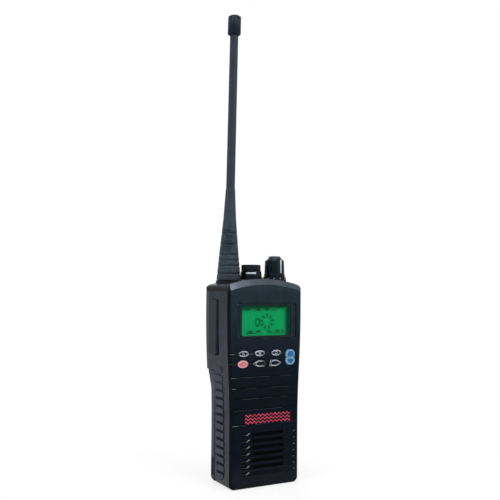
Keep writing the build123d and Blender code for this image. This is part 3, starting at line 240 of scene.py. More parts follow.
# Red waves are pad printed on the panel: a plain sign that the case keeps water out. The ink is
# laid through a mesh, so its edge is crisp and its tone slightly blotchy.
wave_rows = (46.2, 48.6, 51.0)
wave_left = -16.8
wave_length = 37.4
wave_stroke = 0.95
wave_swing = 0.62
wave_period = 3.4
wave_front = -20.02
wave_steps = 176
ink_thickness = 0.04
rows = []
for z in wave_rows:
    bpy.ops.object.select_all(action="DESELECT")
    bpy.ops.mesh.primitive_grid_add(
        x_subdivisions=wave_steps, y_subdivisions=1, size=1, rotation=(math.radians(90), 0, 0),
        location=((wave_left + wave_length / 2) * mm, wave_front * mm, z * mm))
    row = bpy.context.object
    row.scale = (wave_length * mm, wave_stroke * mm, 1)
    bpy.ops.object.transform_apply(location=True, rotation=True, scale=True)
    for point in row.data.vertices:
        along = (point.co.x / mm - wave_left) / wave_period
        point.co.z += wave_swing * mm * math.sin(2 * math.pi * along)
    thick = row.modifiers.new("ink", "SOLIDIFY")
    thick.thickness = ink_thickness * mm
    thick.offset = 0
    bpy.ops.object.modifier_apply(modifier=thick.name)
    rows.append(row)
red_ink = moulded("red_pad_print_ink", "#b03a50", 0.5, 1.4 * mm, specular=0.12, uneven=0.45)
fit("water_sign", rows, red_ink, "radio")

# ---------------------------------------------------------------- top cap
# The arched lid over the controls, moulded in the same plastic as the case. Its front carries on
# the panel's dark coat and painted shade, its sides are painted darker as shade, and the bevel above
# the front carries a painted light band, brightest at the left.
cap_tones = ((139.0, "#07090c"), (139.5, "#1c2026"), (143, "#171a1f"), (147, "#15181c"))
# Painted light on the bevel, brightest at the left end.
bevel_painted_light = ((-28, "#6c757e"), (-19, "#565e67"), (-8, "#434b53"), (20, "#3d454d"))
# Painted shade on the cap's sides.
cap_side_painted_shade = ((139.0, "#07090c"), (143, "#14181d"))
# The panel's coat and painted shade carried on over the cap's front.
cap_front_coat_and_shade = ((139.0, "#1a262e"), (146, "#222c33"))
bevel_limit = -17.2
cap_side_limit = -28.8
cap_front_limit = -19.86
cap_plastic = moulded("painted_light_and_shade_polycarbonate", cap_tones, 0.5, shell_grain, specular=0.07, uneven=0.18, zones=(
    ("Y", bevel_limit, "X", bevel_painted_light),
    ("X", cap_side_limit, "Z", cap_side_painted_shade),
    ("Y", cap_front_limit, "Z", cap_front_coat_and_shade)))
dress(cap_plastic, "top_cap")

# ---------------------------------------------------------------- back casting
# Die cast aluminium chassis behind the shell, with a wrinkled powder coat baked on. It carries the
# main board and spreads the transmitter's heat.
casting_coat = moulded("wrinkle_powder_coat", "#373943", 0.5, 0.7 * mm, relief=0.05 * mm, specular=0.12)
dress(casting_coat, "back_casting")

# ---------------------------------------------------------------- battery pack
# Two plastic halves welded together round the cells, in the same grained finish as the case. It
# slides on, and a catch of smooth acetal on each side holds it.
pack_tones = ((0, "#2c2d34"), (12, "#3e3f48"), (70, "#474852"), (81, "#3a3b45"))
pack_plastic = moulded("grained_pack_plastic", pack_tones, 0.55, 0.5 * mm, specular=0.1)
dress(pack_plastic, "battery_case")
lid_plastic = moulded("smooth_lid_plastic", "#1b1d23", 0.45, 0.8 * mm, specular=0.15)
dress(lid_plastic, "battery_lid", "battery_cells", "accessory_socket")
# A rubber strip lies in the joint between pack and case on each side and keeps grit out.
strip_x = 27.2
strip_half = 1.2
pack_joint = [add_bar((x - strip_half, 5.5, 1.5), (x + strip_half, 5.7, 80.0), 0.05)
              for x in (-strip_x, strip_x)]
joint_rubber = moulded("joint_strip_rubber", "#0b0d11", 0.7, 0.6 * mm, specular=0.05)
fit("pack_joint_strips", pack_joint, joint_rubber, "radio")
catch_plastic = moulded("black_acetal", "#06070b", 0.45, 1.2 * mm, relief=0.004 * mm, specular=0.08)
dress(catch_plastic, "catch_left", "catch_right")

# ---------------------------------------------------------------- ladder grip pads
# Rubber pads bonded into shallow pockets in both sides, with raised rungs for the fingers. The
# gaps between the rungs are painted darker than the rungs, as painted shade.
rung_foot = 28.3
rung_crown = 28.9
pad_rubber = moulded("moulded_grip_rubber", "#41444f", 0.75, 0.5 * mm, relief=0.03 * mm, specular=0.08)
tree = pad_rubber.node_tree
base = tree.nodes["Principled BSDF"].inputs["Base Color"]
rung_tone = base.links[0].from_socket
place = add_node(tree, "ShaderNodeTexCoord").outputs["Object"]
side = add_node(tree, "ShaderNodeSeparateXYZ", {"Vector": place}).outputs["X"]
outward = add_node(tree, "ShaderNodeMath", {0: side}, operation="ABSOLUTE").outputs[0]
# Painted shade: below the rung crowns the tone darkens towards the gap colour.
proud = add_node(tree, "ShaderNodeMapRange", {
    "Value": outward, "From Min": rung_foot * mm, "From Max": rung_crown * mm}).outputs["Result"]
tone = add_node(tree, "ShaderNodeMix", {
    0: proud, 6: linear("#1b1d25"), 7: rung_tone}, data_type="RGBA").outputs[2]
tree.links.new(tone, base)
dress(pad_rubber, "grip_pad_left", "grip_pad_right")

# ---------------------------------------------------------------- push-to-talk bar
# A rubber covered bar that slides into its slot. Rubber is duller than the case round it, and the
# silicone of the seals is darker still.
bar_rubber = moulded("push_bar_rubber", "#2c3039", 0.65, 0.5 * mm, specular=0.08)
dress(bar_rubber, "ptt_bar")
seal_rubber = moulded("silicone_seal_rubber", "#050609", 0.7, 0.6 * mm, specular=0.04)
dress(seal_rubber, "ptt_seal", "cover_seal", "antenna_seal", "keypad_mat", "grille_membrane")

# ---------------------------------------------------------------- display
# A backlit liquid crystal cell under a clear window. The green is even in the middle, with painted
# shade under the top edge and along the right edge, where the recess round the cell shades it. Its
# ink is plain cells, a dotted ring and an oval: no real reading.
lcd_green = "#00864a"
lcd_painted_shade = "#00301a"
lcd_ink = "#03361b"
ink_strength = 0.8
clear_cells = 0.42
cell = (1.75 * mm, 1.0, 1.5 * mm)
ink_rows = ((-4.0, 126.4, 33.0, 2.8), (-9.2, 109.9, 13.4, 2.6), (8.4, 110.2, 15.0, 2.4))
dash_level = -0.1
rings = ((1.6, 117.4, 4.5, 4.2, 0.3, 9), (-6.2, 116.9, 1.7, 2.5, 0.3, 0))
right_shade_from = 15.6
right_shade_to = 18.6
top_shade_from = 125.4
top_shade_to = 128.0
mottle_size = 7 * mm
backlight = 0.35
lcd = bpy.data.materials.new("backlit_liquid_crystal")
lcd.use_nodes = True
tree = lcd.node_tree
tree.nodes.clear()
place = add_node(tree, "ShaderNodeTexCoord").outputs["Object"]
axes = add_node(tree, "ShaderNodeSeparateXYZ", {"Vector": place})
# Painted shade: the green darkens along the right edge and under the top edge.
right_shade = add_node(tree, "ShaderNodeMapRange", {
    "Value": axes.outputs["X"],
    "From Min": right_shade_from * mm, "From Max": right_shade_to * mm}).outputs["Result"]
top_shade = add_node(tree, "ShaderNodeMapRange", {
    "Value": axes.outputs["Z"],
    "From Min": top_shade_from * mm, "From Max": top_shade_to * mm}).outputs["Result"]
painted_shade = add_node(tree, "ShaderNodeMath", {0: right_shade, 1: top_shade}, operation="MAXIMUM").outputs[0]
cloud = add_node(tree, "ShaderNodeTexNoise", {"Vector": place, "Scale": 1 / mottle_size, "Detail": 3.0})
green = add_node(tree, "ShaderNodeMix", {
    0: cloud.outputs["Fac"], 6: linear(lcd_green), 7: linear("#04804a")}, data_type="RGBA").outputs[2]
green = add_node(tree, "ShaderNodeMix", {
    0: painted_shade, 6: green, 7: linear(lcd_painted_shade)}, data_type="RGBA").outputs[2]
snapped = add_node(tree, "ShaderNodeVectorMath", {0: place, 1: cell}, operation="SNAP").outputs[0]
chance = add_node(tree, "ShaderNodeTexWhiteNoise", {"Vector": snapped}).outputs["Value"]
lit = add_node(tree, "ShaderNodeMath", {0: chance, 1: clear_cells}, operation="GREATER_THAN").outputs[0]
region = 0.0
for x, z, width, height in ink_rows:
    across = add_node(tree, "ShaderNodeMath", {
        0: axes.outputs["X"], 1: x * mm, 2: width / 2 * mm}, operation="COMPARE").outputs[0]
    upward = add_node(tree, "ShaderNodeMath", {
        0: axes.outputs["Z"], 1: z * mm, 2: height / 2 * mm}, operation="COMPARE").outputs[0]
    inside = add_node(tree, "ShaderNodeMath", {0: across, 1: upward}, operation="MULTIPLY").outputs[0]
    inside = add_node(tree, "ShaderNodeMath", {0: inside, 1: lit}, operation="MULTIPLY").outputs[0]
    region = add_node(tree, "ShaderNodeMath", {0: inside, 1: region}, operation="MAXIMUM").outputs[0]
for x, z, reach, rise, stroke, parts in rings:
    centred = add_node(tree, "ShaderNodeVectorMath", {
        0: place, 1: (x * mm, 0, z * mm)}, operation="SUBTRACT").outputs[0]
    scaled = add_node(tree, "ShaderNodeVectorMath", {
        0: centred, 1: (1 / (reach * mm), 0, 1 / (rise * mm))}, operation="MULTIPLY").outputs[0]
    distance = add_node(tree, "ShaderNodeVectorMath", {0: scaled}, operation="LENGTH").outputs["Value"]
    inside = add_node(tree, "ShaderNodeMath", {
        0: distance, 1: 1.0, 2: stroke}, operation="COMPARE").outputs[0]
    if parts:
        sides = add_node(tree, "ShaderNodeSeparateXYZ", {"Vector": scaled})
        angle = add_node(tree, "ShaderNodeMath", {
            0: sides.outputs["Z"], 1: sides.outputs["X"]}, operation="ARCTAN2").outputs[0]
        wave = add_node(tree, "ShaderNodeMath", {
            0: angle, 1: float(parts)}, operation="MULTIPLY").outputs[0]
        wave = add_node(tree, "ShaderNodeMath", {0: wave}, operation="SINE").outputs[0]
        dashes = add_node(tree, "ShaderNodeMath", {
            0: wave, 1: dash_level}, operation="GREATER_THAN").outputs[0]
        inside = add_node(tree, "ShaderNodeMath", {
            0: inside, 1: dashes}, operation="MULTIPLY").outputs[0]
    region = add_node(tree, "ShaderNodeMath", {0: inside, 1: region}, operation="MAXIMUM").outputs[0]
inked = add_node(tree, "ShaderNodeMath", {
    0: region, 1: ink_strength}, operation="MULTIPLY").outputs[0]
green = add_node(tree, "ShaderNodeMix", {
    0: inked, 6: green, 7: linear(lcd_ink)}, data_type="RGBA").outputs[2]
shader = add_node(tree, "ShaderNodeBsdfPrincipled", {
    "Base Color": green, "Roughness": 0.5, "Emission Color": green, "Emission Strength": backlight,
    "Specular IOR Level": 0.02})
add_node(tree, "ShaderNodeOutputMaterial", {"Surface": shader.outputs["BSDF"]})
dress(lcd, "display_module")

# The window is clear acrylic with a printed border, which the gasket's dark rubber shows through.
dress(moulded("printed_window_border", "#1c272f", 0.5, 0.8 * mm, specular=0.05), "display_gasket")
clear = bpy.data.materials.new("clear_acrylic_window")
clear.use_nodes = True
shader = clear.node_tree.nodes["Principled BSDF"]
shader.inputs["Base Color"].default_value = linear("#20262a")
shader.inputs["Roughness"].default_value = 0.05
shader.inputs["IOR"].default_value = 1.49
shader.inputs["Alpha"].default_value = 0.05
dress(clear, "display_window")

# ---------------------------------------------------------------- keys
# Silicone keys with hard caps. Each cap carries a printed ring, outline or centre near its edge,
# in paint that is thin in places, and the menu keys a plain small sign.
key_dark = moulded("key_cap_dark", "#0c131a", 0.5, 0.6 * mm, specular=0.08)
dress(key_dark, "key_menu_1", "key_menu_2", "key_menu_3", "key_left", "key_right")
dress(moulded("key_cap_red", "#d0959c", 0.55, 0.6 * mm, specular=0.1, uneven=0.1), "key_red")
dress(moulded("key_cap_blue", "#7398b3", 0.5, 0.6 * mm, specular=0.1, uneven=0.15), "key_up", "key_down")

print_rise = 0.03
split_corner = 0.0005
facing_front = -0.99
front_depth = 0.01
flat_angle = 0.002
shortest_edge = 0.08


def copy_node(name, source):
    """Piece with its own copy of a CAD node's mesh, in which split corners are joined again."""
    piece = bpy.data.objects.new(name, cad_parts[source].data.copy())
    bpy.context.scene.collection.objects.link(piece)
    activate(piece)
    bpy.ops.object.mode_set(mode="EDIT")
    bpy.ops.mesh.select_mode(type="FACE")
    bpy.ops.mesh.select_all(action="SELECT")
    bpy.ops.mesh.remove_doubles(threshold=split_corner * mm)
    bpy.ops.mesh.select_all(action="DESELECT")
    bpy.ops.object.mode_set(mode="OBJECT")
    return piece


def cap_print(name, source, margin=0.0, stroke=0.0):
    """Print on a key: its front face drawn in by a margin, kept whole or left as a ring of a stroke."""
    piece = copy_node(name, source)
    front = min(point.co.y for point in piece.data.vertices)
    for face in piece.data.polygons:
        face.select = face.normal.y < facing_front and face.center.y < front + front_depth * mm
    bpy.ops.object.mode_set(mode="EDIT")
    bpy.ops.mesh.select_all(action="INVERT")
    bpy.ops.mesh.delete(type="FACE")
    bpy.ops.mesh.select_all(action="SELECT")
    bpy.ops.mesh.dissolve_limited(angle_limit=flat_angle)
    bpy.ops.mesh.remove_doubles(threshold=shortest_edge * mm)
    if margin:
        bpy.ops.mesh.inset(thickness=margin * mm)
        bpy.ops.mesh.select_all(action="INVERT")
        bpy.ops.mesh.delete(type="FACE")
    bpy.ops.mesh.select_all(action="SELECT")
    if stroke:
        bpy.ops.mesh.inset(thickness=stroke * mm)
        bpy.ops.mesh.delete(type="FACE")
    bpy.ops.mesh.select_all(action="SELECT")
    bpy.ops.transform.resize(value=(1, 0, 1), center_override=(0, front, 0))
    bpy.ops.mesh.extrude_region_move(TRANSFORM_OT_translate={"value": (0, -print_rise * mm, 0)})
    bpy.ops.object.mode_set(mode="OBJECT")
    return piece


def reshape(piece, shift, size):
    """Move a print across its key, in millimetres, and stretch it about its own middle."""
    activate(piece)
    middle = sum((Vector(corner) for corner in piece.bound_box), Vector()) / 8
    bpy.ops.object.mode_set(mode="EDIT")
    bpy.ops.mesh.select_all(action="SELECT")
    bpy.ops.transform.resize(value=(size[0], 1, size[1]), center_override=middle)
    bpy.ops.transform.translate(value=(shift[0] * mm, 0, shift[1] * mm))
    bpy.ops.object.mode_set(mode="OBJECT")
    return piece


key_front = -20.8
print_root = key_front + 0.05
print_edge = 0.02
ring_stroke = 0.75
arrow_stroke = 0.85
menu_strokes = (
    ("menu_1", ((-19.6, 94.0, -19.0, 96.0), (-18.6, 94.0, -17.9, 94.9))),
    ("menu_2", ((-6.4, 93.9, -5.8, 96.0), (-5.3, 93.9, -4.7, 96.0))),
    ("menu_3", ()),
)
ring_paint = moulded("worn_white_paint", "#a3acb8", 0.5, 1.2 * mm, specular=0.1, uneven=0.45)
for key, strokes in menu_strokes:
    marks = [cap_print(key + "_print", "key_" + key, stroke=ring_stroke)]
    for left, low, right, high in strokes:
        marks.append(add_bar((left, key_front - print_rise, low), (right, print_root, high), print_edge))
    if not strokes:
        marks.append(reshape(cap_print(key + "_square", "key_" + key, stroke=0.9), (0, 0), (0.34, 0.5)))
    fit(key + "_print", marks, ring_paint, "key_" + key + "_cap")

left_tones = ((-10.5, "#b6bdc6"), (-6, "#969fa9"), (-1.5, "#5a646d"))
left_paint = moulded("left_arrow_paint", left_tones, 0.5, 1.2 * mm, specular=0.1, uneven=0.3, axis="X")
tip = reshape(cap_print("left_tip", "key_left"), (-3.4, 0), (0.24, 0.4))
outline = cap_print("left_print", "key_left", stroke=arrow_stroke)
fit("left_print", [tip, outline], left_paint, "key_left_cap")
right_tones = ((3, "#a0a8b1"), (8, "#8a929c"), (12.5, "#67707a"))
right_paint = moulded("right_arrow_paint", right_tones, 0.5, 1.2 * mm, specular=0.1, uneven=0.35, axis="X")
tail = add_bar((2.75, key_front - print_rise, 85.4), (4.1, print_root, 89.9), print_edge, lean=-14.0)
outline = cap_print("right_print", "key_right", stroke=arrow_stroke)
fit("right_print", [tail, outline], right_paint, "key_right_cap")

red_paint = moulded("mottled_red_paint", "#b66c77", 0.5, 1.6 * mm, specular=0.1, uneven=0.35)
fit("red_print", [cap_print("red_print", "key_red", margin=0.55)], red_paint, "key_red_cap")
blue_paint = moulded("deep_blue_paint", "#1d5f90", 0.5, 1.2 * mm, specular=0.1, uneven=0.2)
for key, shift, size in (("up", (0.2, -0.25), (0.86, 1.0)), ("down", (0.15, 0.15), (0.8, 0.8))):
    centre = reshape(cap_print(key + "_print", "key_" + key, margin=0.5), shift, size)
    fit(key + "_print", [centre], blue_paint, "key_" + key + "_cap")

# ---------------------------------------------------------------- knobs
# Moulded nylon knobs pressed on steel shafts. The volume knob is fluted and glossy, with a painted
# index line down its side and pale dots round its collar; the selector is knurled over a skirt,
# whose rim carries a painted highlight that also serves as its index mark.
glossy_nylon = moulded("glossy_knob_nylon", "#06151c", 0.28, 0.8 * mm, relief=0.003 * mm, specular=0.1)
dress(glossy_nylon, "volume_knob")
dress(moulded("matt_knob_nylon", "#1a2227", 0.6, 0.5 * mm, specular=0.1), "selector_disc")
skirt_nylon = moulded("polished_skirt", "#081219", 0.25, 0.8 * mm, relief=0.002 * mm, specular=0.12)
dress(skirt_nylon, "selector_skirt")
dress(moulded("knob_cap", "#484c55", 0.4, 0.8 * mm, specular=0.2), "volume_cap")
white_paint = moulded("white_index_paint", "#d2dee4", 0.45, 0.8 * mm, specular=0.2, uneven=0.08)


def around(piece, axis, turns):
    """Turn a piece about a vertical axis in millimetres, to each of the given angles in degrees."""
    pieces = []
    for turn in turns:
        copy = piece.copy()
        copy.data = piece.data.copy()
        bpy.context.scene.collection.objects.link(copy)
        copy.data.transform(
            Matrix.Translation((axis[0] * mm, axis[1] * mm, 0))
            @ Matrix.Rotation(math.radians(turn), 4, "Z")
            @ Matrix.Translation((-axis[0] * mm, -axis[1] * mm, 0)))
        pieces.append(copy)
    bpy.data.objects.remove(piece)
    return pieces


volume_axis = (19.5, 2.0)
selector_axis = (-1.0, 2.0)
mark_left = volume_axis[0] - 0.35
mark_right = volume_axis[0] + 0.35
line_turn = 9
line = add_bar((mark_left, -5.96, 153.0), (mark_right, -5.2, 163.2), 0.12)
fit("volume_index", around(line, volume_axis, (line_turn,)), white_paint, "volume_control")
dot = add_bar((mark_left, -7.15, 148.6), (mark_right, -6.5, 149.3), 0.3, segments=3)
scale_paint = moulded("grey_scale_paint", "#b4bec6", 0.5, 0.8 * mm, uneven=0.3)
fit("volume_dots", around(dot, volume_axis, range(-160, 161, 32)), scale_paint, "radio")
# Painted highlight: pale bars round the front of the skirt's rim, as its lit edge and index mark.
skirt_highlight = add_bar((-2.3, -6.25, 151.9), (0.3, -5.5, 153.2), 0.4, segments=3)
highlight_paint = moulded("painted_highlight_index_paint", "#d2dce4", 0.4, 0.8 * mm, specular=0.2, uneven=0.2)
fit("selector_index_highlight", around(skirt_highlight, selector_axis, range(-46, -9, 9)), highlight_paint,
    "selector_control")

full_turn = 360
seam = 0.001


def turn_section(axis, inner, outer, low, high, angle, steps):
    """Rectangle turned about a vertical axis: a ring at a full turn, else a bar. Millimetres, degrees."""
    bpy.ops.object.select_all(action="DESELECT")
    bpy.ops.mesh.primitive_plane_add(
        size=1, rotation=(math.radians(90), 0, 0),
        location=((axis[0] + (inner + outer) / 2) * mm, axis[1] * mm, (low + high) / 2 * mm))
    section = bpy.context.object
    section.scale = ((outer - inner) * mm, (high - low) * mm, 1)
    bpy.ops.object.transform_apply(location=True, rotation=True, scale=True)
    bpy.ops.object.mode_set(mode="EDIT")
    bpy.ops.mesh.select_all(action="SELECT")
    if angle == full_turn:
        bpy.ops.mesh.delete(type="ONLY_FACE")
        bpy.ops.mesh.select_all(action="SELECT")
    bpy.ops.mesh.spin(
        steps=steps, angle=math.radians(angle), axis=(0, 0, 1), center=(axis[0] * mm, axis[1] * mm, 0))
    bpy.ops.mesh.select_all(action="SELECT")
    bpy.ops.mesh.remove_doubles(threshold=seam * mm)
    bpy.ops.mesh.normals_make_consistent(inside=False)
    bpy.ops.object.mode_set(mode="OBJECT")
    return section


def round_edges(piece, rounding):
    """Round the sharp edges of a piece by a radius in millimetres."""
    activate(piece)
    edge = piece.modifiers.new("edge", "BEVEL")
    edge.width = rounding * mm
    edge.segments = 2
    edge.limit_method = "ANGLE"
    edge.angle_limit = smooth_angle
    bpy.ops.object.modifier_apply(modifier=edge.name)
    return piece


# Rubber wipers lie under both knobs and a rubber ring fills the selector's neck, so that no grit
# works its way down to the shafts.
ring_steps = 72
wiper_bore = 5.2
wiper_thickness = 0.24
wiper_play = 0.04
wiper_edge = 0.05
neck_bore = 5.6
neck_reach = 7.15
neck_height = 0.6
neck_edge = 0.06
volume_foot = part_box("volume_knob")[0][2] / mm
selector_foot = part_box("selector_skirt")[0][2] / mm
disc_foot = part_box("selector_disc")[0][2] / mm
for name, axis, radius, foot in (
        ("volume_wiper", volume_axis, 7.9, volume_foot),
        ("selector_wiper", selector_axis, 8.0, selector_foot)):
    top = foot - wiper_play
    ring = turn_section(axis, wiper_bore, radius, top - wiper_thickness, top, full_turn, ring_steps)
    fit(name, [round_edges(ring, wiper_edge)], seal_rubber, "radio")
neck_foot = disc_foot - neck_height
ring = turn_section(selector_axis, neck_bore, neck_reach, neck_foot, disc_foot, full_turn, ring_steps)
fit("selector_neck_ring", [round_edges(ring, neck_edge)], seal_rubber, "selector_control")

# ---------------------------------------------------------------- antenna
# A flexible whip in a rubber sleeve, with a tapered boot moulded over its foot and a hard tip.
# Dark bars on the front of the boot are painted shade, standing for the shaded lines of grooves
# round it. The whip has taken a slight set, so it leans a little from the boot's middle up.
antenna_axis = (-19.0, 3.5)
antenna_top = 347.6
lean_foot = 165.0
lean_slope = 0.0165


def set_whip(name, source, swell, height, material):
    """A piece of the antenna, leaning over its foot, with its girth and height scaled a little."""
    piece = copy_node(name, source)
    bpy.ops.object.mode_set(mode="EDIT")
    bpy.ops.mesh.select_all(action="SELECT")
    bpy.ops.transform.resize(value=(swell, swell, height), center_override=(
        antenna_axis[0] * mm, antenna_axis[1] * mm, antenna_top * mm))
    bpy.ops.object.mode_set(mode="OBJECT")
    for point in piece.data.vertices:
        point.co.x += lean_slope * max(0.0, point.co.z - lean_foot * mm)
    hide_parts(source)
    fit(name, [piece], material, "radio")


boot_rubber = moulded("boot_rubber", "#2b3640", 0.5, 0.4 * mm, specular=0.13)
set_whip("leaning_boot", "antenna_boot", 1.0, 1.0, boot_rubber)
whip_rubber = moulded("whip_rubber", "#252e38", 0.5, 0.4 * mm, specular=0.15)
set_whip("leaning_whip", "antenna_whip", 1.1, 1.0, whip_rubber)
tip_plastic = moulded("antenna_tip_plastic", "#131c29", 0.4, 0.6 * mm, specular=0.1)
set_whip("leaning_tip", "antenna_tip", 1.12, 0.88, tip_plastic)

boot_foot = 147.6
boot_height = 68.0
boot_radius = 9.0
boot_narrowing = 5.5
shade_bar_sunk = 0.35
shade_bar_proud = 0.15
shade_bar_sweep = 56
shade_bar_steps = 10
# Painted shade: each bar is a dark strip for a groove's shadow, only on the side that faces the front.
groove_shade_bars = (
    (184.3, 0.45, -104), (180.2, 0.4, -88), (178.4, 0.3, -84), (176.1, 0.45, -96), (174.2, 0.3, -84),
    (171.9, 0.7, -98), (169.6, 0.4, -104),
)
bars = []
for z, height, start in groove_shade_bars:
    radius = boot_radius - boot_narrowing * (z - boot_foot) / boot_height
    bar = turn_section(antenna_axis, radius - shade_bar_sunk, radius + shade_bar_proud,
                       z - height / 2, z + height / 2, shade_bar_sweep, shade_bar_steps)
    bars += around(bar, antenna_axis, (start,))
    bars[-1].data.transform(Matrix.Translation((lean_slope * max(0.0, z - lean_foot) * mm, 0, 0)))
groove_shade_rubber = moulded("painted_groove_shade_rubber", "#1d252d", 0.6, 0.4 * mm, specular=0.1)
fit("boot_groove_shade_bars", bars, groove_shade_rubber, "radio")

# ---------------------------------------------------------------- belt clip and accessory port
# Glass filled nylon, moulded slightly glossy, with ridges where the thumb presses the clip open.
clip_plastic = moulded("glass_filled_nylon", "#1c1f25", 0.45, 0.5 * mm, specular=0.15)
dress(clip_plastic, "clip_plate", "clip_bracket", "accessory_cover", "accessory_screw")
ridge_half = 0.35
rib_half = 0.4
grip_edge = 0.15
ridges = [add_bar((-7.0, 26.8, z - ridge_half), (7.0, 27.25, z + ridge_half), grip_edge)
          for z in (109.0, 106.6, 104.2, 101.8)]
fit("clip_ridges", ridges, clip_plastic, "belt_clip")
ribs = [add_bar((33.0, -4.5, z - rib_half), (33.35, 8.5, z + rib_half), grip_edge)
        for z in (114.5, 117.1, 119.7, 122.3, 124.9)]
fit("cover_ribs", ribs, clip_plastic, "radio")

# ---------------------------------------------------------------- metal and inner pieces
# Stainless screws and shafts, turned brass contacts, tinned cans and laminate boards. Nearly all
# lie behind covers, so they have plain finishes, with fine machining marks on what is metal.
machining_pitch = 0.3 * mm
machining_relief = 0.01 * mm


def metal(name, colour, roughness):
    """Bare metal with fine machining marks."""
    material = bpy.data.materials.new(name)
    material.use_nodes = True
    tree = material.node_tree
    shader = tree.nodes["Principled BSDF"]
    place = add_node(tree, "ShaderNodeTexCoord").outputs["Object"]
    marks = add_node(tree, "ShaderNodeTexNoise", {
        "Vector": place, "Scale": 1 / machining_pitch, "Detail": 2.0})
    surface = add_node(tree, "ShaderNodeBump", {
        "Strength": 0.3, "Distance": machining_relief, "Height": marks.outputs["Fac"]})
    tree.links.new(surface.outputs["Normal"], shader.inputs["Normal"])
    shader.inputs["Base Color"].default_value = linear(colour)
    shader.inputs["Metallic"].default_value = 1.0
    shader.inputs["Roughness"].default_value = roughness
    return material


steel = metal("stainless_steel", "#9a9da1", 0.35)
brass = metal("turned_brass", "#b08d4c", 0.3)
dress(steel, "case_screws", "clip_screws", "clip_pin", "clip_spring", "volume_shaft", "selector_shaft",
      "key_domes")
dress(brass, "antenna_socket", "antenna_stud", "battery_contacts", "spring_contacts")
dress(metal("tinned_steel", "#c3c6c8", 0.4), "shield_cans", "microphone", "speaker")
dress(moulded("green_laminate", "#1f4a34", 0.4, 0.8 * mm), "control_board", "main_board")
dress(moulded("switch_housing", "#20242a", 0.5, 0.8 * mm), "volume_encoder", "selector_switch",
      "ptt_switch", "speaker_cone")


def socket_heads(name, source, places, face, depth, size, body):
    """A node of screws with hexagon sockets sunk in its heads, at places on a plane of constant Y."""
    piece = copy_node(name, source)
    cutters = []
    for x, z in places:
        bpy.ops.object.select_all(action="DESELECT")
        bpy.ops.mesh.primitive_cylinder_add(
            vertices=6, radius=size * mm, depth=2 * depth * mm, rotation=(math.radians(90), 0, 0),
            location=(x * mm, face * mm, z * mm))
        bpy.ops.object.transform_apply(location=True, rotation=True, scale=True)
        cutters.append(bpy.context.object)
    activate(*cutters)
    bpy.ops.object.join()
    cutter = bpy.context.object
    activate(piece)
    sunk = piece.modifiers.new("sockets", "BOOLEAN")
    sunk.operation = "DIFFERENCE"
    sunk.object = cutter
    bpy.ops.object.modifier_apply(modifier=sunk.name)
    bpy.data.objects.remove(cutter)
    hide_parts(source)
    fit(name, [piece], steel, body)


case_places = ((-21.0, 134.6), (21.0, 134.6), (-24.9, 86.0), (24.9, 86.0))
socket_heads("case_screw_heads", "case_screws", case_places, face=20.0, depth=1.1, size=1.25, body="radio")

# ---------------------------------------------------------------- floor, light and camera
# A pale sheet, large soft lights and a camera at the height of the radio's top edge. The sheet
# keeps the shadow round the radio and fades to plain white away from it.
floor_size = 12
shadow_reach = 0.05
white_reach = 0.22
near_glow = 0.75
sky_fill = 0.35


def seen_plainly(tree):
    """One for rays that show a surface: to the camera, in a reflection or through clear plastic."""
    rays = add_node(tree, "ShaderNodeLightPath").outputs
    seen = add_node(tree, "ShaderNodeMath", {
        0: rays["Is Camera Ray"], 1: rays["Is Glossy Ray"]}, operation="MAXIMUM").outputs[0]
    return add_node(tree, "ShaderNodeMath", {
        0: seen, 1: rays["Is Transmission Ray"]}, operation="MAXIMUM").outputs[0]


bpy.ops.object.select_all(action="DESELECT")
bpy.ops.mesh.primitive_plane_add(size=floor_size, location=(0, 0, 0))
floor = bpy.context.object
floor.name = "floor"
paper = bpy.data.materials.new("pale_paper")
paper.use_nodes = True
tree = paper.node_tree
tree.nodes.clear()
place = add_node(tree, "ShaderNodeTexCoord").outputs["Object"]
distance = add_node(tree, "ShaderNodeVectorMath", {0: place}, operation="LENGTH").outputs["Value"]
share = add_node(tree, "ShaderNodeMapRange", {
    "Value": distance, "From Min": shadow_reach, "From Max": white_reach,
    "To Min": near_glow, "To Max": 1.0}).outputs["Result"]
share = add_node(tree, "ShaderNodeMath", {0: seen_plainly(tree), 1: share}, operation="MULTIPLY")
matt = add_node(tree, "ShaderNodeBsdfDiffuse", {"Color": linear("#f2f2f2")})
glow = add_node(tree, "ShaderNodeEmission", {"Color": linear("#ffffff"), "Strength": 1.0})
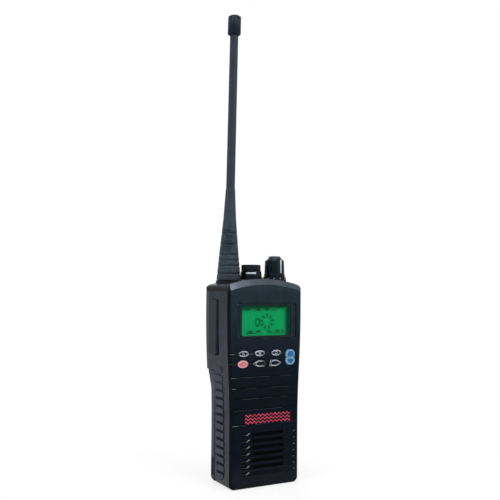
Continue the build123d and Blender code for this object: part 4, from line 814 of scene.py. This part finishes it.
blend = add_node(tree, "ShaderNodeMixShader", {
    0: share.outputs[0], 1: matt.outputs[0], 2: glow.outputs[0]})
add_node(tree, "ShaderNodeOutputMaterial", {"Surface": blend.outputs[0]})
floor.data.materials.append(paper)

world = bpy.data.worlds.new("studio")
bpy.context.scene.world = world
world.use_nodes = True
tree = world.node_tree
tree.nodes.clear()
strength = add_node(tree, "ShaderNodeMapRange", {
    "Value": seen_plainly(tree), "To Min": sky_fill, "To Max": 1.0})
sky = add_node(tree, "ShaderNodeBackground", {
    "Color": linear("#ffffff"), "Strength": strength.outputs["Result"]})
add_node(tree, "ShaderNodeOutputWorld", {"Surface": sky.outputs[0]})

# Each softbox has a place and a width and height in metres, and a power in watts.
light_aim = Vector((0, 0, 0.12))
softboxes = (
    ("left_softbox", (-1.1, -0.1, 0.55), 0.8, 0.8, 4.5),
    ("front_softbox", (0.5, -1.2, 0.7), 0.8, 0.7, 9),
    ("top_softbox", (-0.1, -0.2, 1.3), 0.7, 0.7, 8),
    ("back_softbox", (0.4, 1.2, 0.8), 0.9, 0.7, 8),
)
for name, place, width, height, power in softboxes:
    light = bpy.data.lights.new(name, "AREA")
    light.shape = "RECTANGLE"
    light.size = width
    light.size_y = height
    light.energy = power
    lamp = bpy.data.objects.new(name, light)
    bpy.context.scene.collection.objects.link(lamp)
    lamp.location = place
    lamp.rotation_euler = (light_aim - Vector(place)).to_track_quat("-Z", "Y").to_euler()

camera_place = (-0.2524, -0.4593, 0.1414)
camera_heading = -28.5
camera_tilt = 93.145
camera_roll = 0.45
camera_data = bpy.data.cameras.new("camera")
camera_data.lens = 50.2
camera_data.sensor_width = 36.0
camera = bpy.data.objects.new("camera", camera_data)
bpy.context.scene.collection.objects.link(camera)
camera.matrix_world = (
    Matrix.Translation(camera_place)
    @ Matrix.Rotation(math.radians(camera_heading), 4, "Z")
    @ Matrix.Rotation(math.radians(camera_tilt), 4, "X")
    @ Matrix.Rotation(math.radians(camera_roll), 4, "Z")
)
bpy.context.scene.camera = camera
bpy.context.scene.view_settings.view_transform = "Standard"
